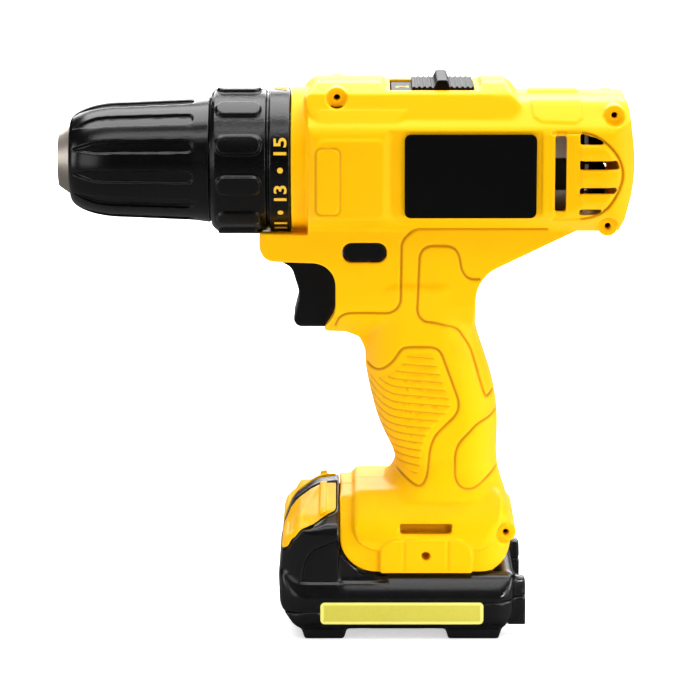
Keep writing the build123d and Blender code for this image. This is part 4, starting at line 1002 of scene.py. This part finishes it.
# %% Speed slide
SLIDE_VOXEL = 0.00025
SLIDE_PASSES = 5
SLIDE_TRIANGLES = 60000
SLIDE_RIB_PITCH = 1.75
SLIDE_RIB_HEIGHT = 0.32
SLIDE_RIB_FLOOR = -0.6
SLIDE_BAR_X = 31.3
BUTTON_HEIGHTS = (180.4, 182.2)
BUTTON_FROM_X = 22.4
BUTTON_UPWARD = 0.5
slide = soft_moulding("speed_selector", SLIDE_VOXEL, SLIDE_PASSES, slide_black)
places, normals = points_of(slide)
x, _, z = places.T
button = (normals[:, 2] > BUTTON_UPWARD) & between(z, *BUTTON_HEIGHTS) & (x > BUTTON_FROM_X)
wave = np.clip(np.cos(2 * pi * (x - SLIDE_BAR_X) / SLIDE_RIB_PITCH), SLIDE_RIB_FLOOR, 1)
places[:, 2] += np.where(button, SLIDE_RIB_HEIGHT * wave, 0)
put_points(slide, places)
thin_out(slide, SLIDE_TRIANGLES)
stand_for(slide, "speed_selector")

# %% [markdown]
# Each battery latch is a yellow button. The thumb presses in a scoop in front of its upright ridge, and a few
# low upright ribs in the scoop keep it from slipping. The bore for its spring is plugged, and its top follows
# the crown of the tower.

# %% Battery latches
LATCH_VOXEL = 0.00030
LATCH_PASSES = 8
LATCH_TRIANGLES = 60000
SCOOP_MIDDLE = (-13.4, 43.6)
SCOOP_HALF = (5.0, 6.4)
SCOOP_DEPTH = 0.4
SCOOP_FACING = 0.2
PLUG_PLACE = (-0.012, 0.0222, 0.0406)
LATCH_RIB_PITCH = 1.55
LATCH_RIB_HEIGHT = 0.16
LATCH_RIB_START = 3
for node, side in (("battery_latch_left", -1), ("battery_latch_right", 1)):
    plug = (PLUG_PLACE[0], side * PLUG_PLACE[1], PLUG_PLACE[2])
    latch = soft_moulding(node, LATCH_VOXEL, LATCH_PASSES, latch_yellow, plug)
    places, normals = points_of(latch)
    round_x = (places[:, 0] - SCOOP_MIDDLE[0]) / SCOOP_HALF[0]
    round_z = (places[:, 2] - SCOOP_MIDDLE[1]) / SCOOP_HALF[1]
    bowl = np.clip(1 - round_x ** 2 - round_z ** 2, 0, 1) * (normals[:, 1] * side > SCOOP_FACING)
    ribs = np.clip(np.cos(2 * pi * places[:, 0] / LATCH_RIB_PITCH), 0, 1)
    places[:, 1] -= side * (SCOOP_DEPTH * bowl - LATCH_RIB_HEIGHT * ribs * ease(bowl * LATCH_RIB_START))
    put_points(latch, places)
    crown_tower(latch)
    thin_out(latch, LATCH_TRIANGLES)
    stand_for(latch, node)

# %% [markdown]
# The clutch ring carries plain printed numbers, the odd ones as figures and the even ones as dots. Each
# figure starts as text, becomes a mesh, is scaled to its printed height and is then bent round the ring: its
# height runs along X and its width round the spindle.

# %% Numbers on the clutch ring
RING_R = 23.8
NUMBER_X = -20.85
NUMBER_HEIGHT = 4.2
NUMBER_WIDEN = 1.28
NUMBER_STEP = 18.8
NUMBER_COUNT = 8
FIRST_NUMBER = 15
FIRST_ANGLE = -19.4
THICKNESS = 0.12
TEXT_SIZE = 6.0
TEXT_BOLDER = 0.12
TEXT_WELD = 0.001


def wrap_on_ring(piece, angle):
    """Bend a flat mesh (x across, y up, in mm) round the clutch ring at an angle from the left side."""
    flat = vertex_values(piece, "co")
    turn = np.radians(90 + angle) - flat[:, 0] / RING_R
    radius = RING_R + flat[:, 2]
    places = np.empty_like(flat)
    places[:, 0] = NUMBER_X - flat[:, 1]
    places[:, 1] = -radius * np.sin(turn)
    places[:, 2] = SPINDLE_Z / MM + radius * np.cos(turn)
    put_points(piece, places)


def flat_text(name, words, height):
    """Bold figures made a thin solid mesh, centred on their own box, in millimetres."""
    bpy.ops.object.text_add(location=(0, 0, 0))
    piece = bpy.context.object
    piece.name = name
    piece.data.body = words
    piece.data.size = TEXT_SIZE
    piece.data.offset = TEXT_BOLDER
    piece.data.extrude = THICKNESS
    piece.data.resolution_u = 6
    only(piece)
    bpy.ops.object.convert(target="MESH")
    open_mesh(piece)
    bpy.ops.mesh.remove_doubles(threshold=TEXT_WELD)
    bpy.ops.mesh.quads_convert_to_tris()
    bpy.ops.mesh.subdivide(number_cuts=2)
    close_mesh()
    flat = vertex_values(piece, "co")
    low, high = flat.min(axis=0), flat.max(axis=0)
    flat[:, :2] = (flat[:, :2] - (low + high)[:2] / 2) * height / (high - low)[1]
    flat[:, 0] *= NUMBER_WIDEN
    piece.data.vertices.foreach_set("co", flat.ravel())
    return piece


marks = []
for i in range(NUMBER_COUNT):
    shown = FIRST_NUMBER - 2 * i
    number = flat_text(f"ring_number_{shown}", str(shown), NUMBER_HEIGHT)
    wrap_on_ring(number, FIRST_ANGLE + 2 * i * NUMBER_STEP)
    marks.append(number)
print(len(marks), "figures")

# %% [markdown]
# One dot is turned from a short cylinder with a bevelled rim, and the drilling mark near the top is a row of
# three slanted strokes. The dot is modelled once and copied between the figures.

# %% Dots and the drilling mark
DOT_R = 0.95
DOT_SIDES = 24
DOT_BEVEL = 0.05
MARK_ANGLE = -87.4
STROKE_COUNT = 3
STROKE_PITCH = 1.5
STROKE_SIZE = (0.75, 4.2, 2 * THICKNESS)
STROKE_LEAN = radians(-24)
bpy.ops.mesh.primitive_cylinder_add(vertices=DOT_SIDES, radius=DOT_R, depth=2 * THICKNESS)
dot = bpy.context.object
dot.name = "ring_dot_1"
open_mesh(dot)
bpy.ops.mesh.bevel(offset=DOT_BEVEL, segments=2)
close_mesh()
dots = [dot]
for i in range(1, NUMBER_COUNT - 1):
    dots.append(add_object(f"ring_dot_{i + 1}", dot.data.copy()))
for i, piece in enumerate(dots):
    wrap_on_ring(piece, FIRST_ANGLE + (2 * i + 1) * NUMBER_STEP)
marks += dots

strokes = []
for i in range(STROKE_COUNT):
    bpy.ops.mesh.primitive_cube_add(
        size=1.0, location=((i - 1) * STROKE_PITCH, 0, 0), rotation=(0, 0, STROKE_LEAN))
    piece = bpy.context.object
    bpy.ops.transform.resize(value=STROKE_SIZE, orient_type="LOCAL")
    bpy.ops.object.transform_apply(location=True, rotation=True, scale=True)
    open_mesh(piece)
    bpy.ops.mesh.subdivide(number_cuts=3)
    close_mesh()
    strokes.append(piece)
only(strokes[0])
for piece in strokes[1:]:
    piece.select_set(True)
bpy.ops.object.join()
drilling_mark = bpy.context.object
drilling_mark.name = "drilling_mark"
wrap_on_ring(drilling_mark, MARK_ANGLE)
marks.append(drilling_mark)
for mark in marks:
    paint(mark, number_yellow)
    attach(mark, "clutch_collar")
print(len(marks), "marks on the ring")

# %% [markdown]
# The speed slide shows a plain 2 on the small plate in front of its button. It is read from behind the tool,
# so its top points to the chuck.

# %% Figure on the speed slide
FIGURE_AT = (18.8, 0.0, 179.62)
FIGURE_HEIGHT = 4.4
FIGURE_THINNER = 0.4
figure = flat_text("slide_figure", "2", FIGURE_HEIGHT)
flat = vertex_values(figure, "co")
places = np.empty_like(flat)
places[:, 0] = FIGURE_AT[0] - flat[:, 1]
places[:, 1] = FIGURE_AT[1] + flat[:, 0]
places[:, 2] = FIGURE_AT[2] + flat[:, 2] * FIGURE_THINNER
put_points(figure, places)
paint(figure, number_yellow)
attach(figure, nodes["speed_selector"]["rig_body"])

# %% [markdown]
# The tool stands on a white sweep of paper. To the camera the paper glows a little, so that it reads as
# white and still keeps a soft contact shadow, and further away it is plain white. In reflections it is
# darker, as a studio with dark walls would be, which keeps the black plastic black.

# %% Floor
FLOOR_SIZE = 12.0
PAPER = (0.86, 0.86, 0.86, 1)
PAPER_REFLECTED = (0.08, 0.08, 0.08, 1)
PAPER_NEAR = 0.16
PAPER_FAR = 0.42
GLOW_NEAR = 0.55
GLOW_FAR = 1.0
WHITE = (1, 1, 1, 1)
bpy.ops.mesh.primitive_plane_add(size=FLOOR_SIZE, location=(0, 0, 0))
floor = bpy.context.object
floor.name = "pale_floor"
floor_white, tree, shader = new_material("floor_white", roughness=0.7, specular=0.1)
shader.inputs["Emission Color"].default_value = WHITE
path = add_node(tree, "LightPath")
paper = add_node(tree, "Mix", {"A": PAPER, "B": PAPER_REFLECTED}, data_type="RGBA")
away = add_node(tree, "VectorMath", operation="LENGTH")
glow = add_node(tree, "MapRange", {
    "From Min": PAPER_NEAR, "From Max": PAPER_FAR, "To Min": GLOW_NEAR, "To Max": GLOW_FAR})
seen = add_node(tree, "Math", operation="MULTIPLY")
join(
    tree,
    (path.outputs["Is Glossy Ray"], paper.inputs["Factor"]),
    (paper.outputs["Result"], shader.inputs["Base Color"]),
    (own_place(tree), away.inputs[0]),
    (away.outputs["Value"], glow.inputs["Value"]),
    (glow.outputs["Result"], seen.inputs[0]),
    (path.outputs["Is Camera Ray"], seen.inputs[1]),
    (seen.outputs[0], shader.inputs["Emission Strength"]),
)
paint(floor, floor_white)

# %% [markdown]
# Broad soft lights do the work of a catalogue studio: a big one above and one behind that brighten every
# upper edge, a strip above the camera that draws a band along each rounded shoulder, a weaker pair from the
# left and right front for the side, a low one on the left for the steel nose and one on the right for the
# rounded rear. A narrow one lifts the foot, which the white table brightens in a studio. The world is white
# to the camera and dim to everything else.

# %% Light
# Name, place, aim, width and height in metres, power in watts, spread in degrees.
LIGHTS = [
    ("light_above", (0.05, 0.25, 1.25), (0.0, 0.0, 0.1), 1.7, 1.1, 32.0, 180.0),
    ("light_edge", (0.05, -0.62, 1.15), (0.0, 0.0, 0.1), 1.6, 0.25, 4.5, 180.0),
    ("light_behind", (0.1, 1.3, 0.75), (0.0, 0.0, 0.12), 1.8, 0.7, 22.0, 180.0),
    ("light_front_left", (-1.1, -1.2, 0.35), (0.0, 0.0, 0.1), 0.8, 0.8, 3.0, 180.0),
    ("light_front_right", (1.25, -1.0, 0.35), (0.0, 0.0, 0.1), 0.7, 0.9, 3.7, 180.0),
    ("light_left", (-1.4, -0.25, 0.25), (0.0, 0.0, 0.15), 0.5, 0.9, 3.6, 180.0),
    ("light_right", (1.45, -0.2, 0.35), (0.0, 0.0, 0.12), 0.6, 0.9, 9.5, 180.0),
    ("light_foot", (0.70, -0.95, 0.30), (0.03, 0.0, 0.035), 0.12, 0.12, 0.03, 10.0),
]
for name, place, aim, width, height, power, spread in LIGHTS:
    data = bpy.data.lights.new(name, "AREA")
    data.spread = radians(spread)
    data.shape = "RECTANGLE"
    data.size = width
    data.size_y = height
    data.energy = power
    lamp = add_object(name, data)
    lamp.location = place
    lamp.rotation_euler = (Vector(aim) - Vector(place)).to_track_quat("-Z", "Y").to_euler()

WORLD_LIGHT = 0.18
WORLD_REFLECTED = 0.015
WORLD_SEEN = 1.0
world = bpy.data.worlds.new("studio_white")
bpy.context.scene.world = world
world.use_nodes = True
sky = world.node_tree
background = sky.nodes["Background"]
background.inputs["Color"].default_value = WHITE
path = add_node(sky, "LightPath")
dim = add_node(sky, "Mix", {"A": WORLD_LIGHT, "B": WORLD_REFLECTED})
level = add_node(sky, "Mix", {"B": WORLD_SEEN})
join(
    sky,
    (path.outputs["Is Glossy Ray"], dim.inputs["Factor"]),
    (path.outputs["Is Camera Ray"], level.inputs["Factor"]),
    (dim.outputs["Result"], level.inputs["A"]),
    (level.outputs["Result"], background.inputs["Strength"]),
)

# %% [markdown]
# Standard view transform keeps a colour as it is written.

# %% Finish
bpy.context.scene.view_settings.view_transform = "Standard"
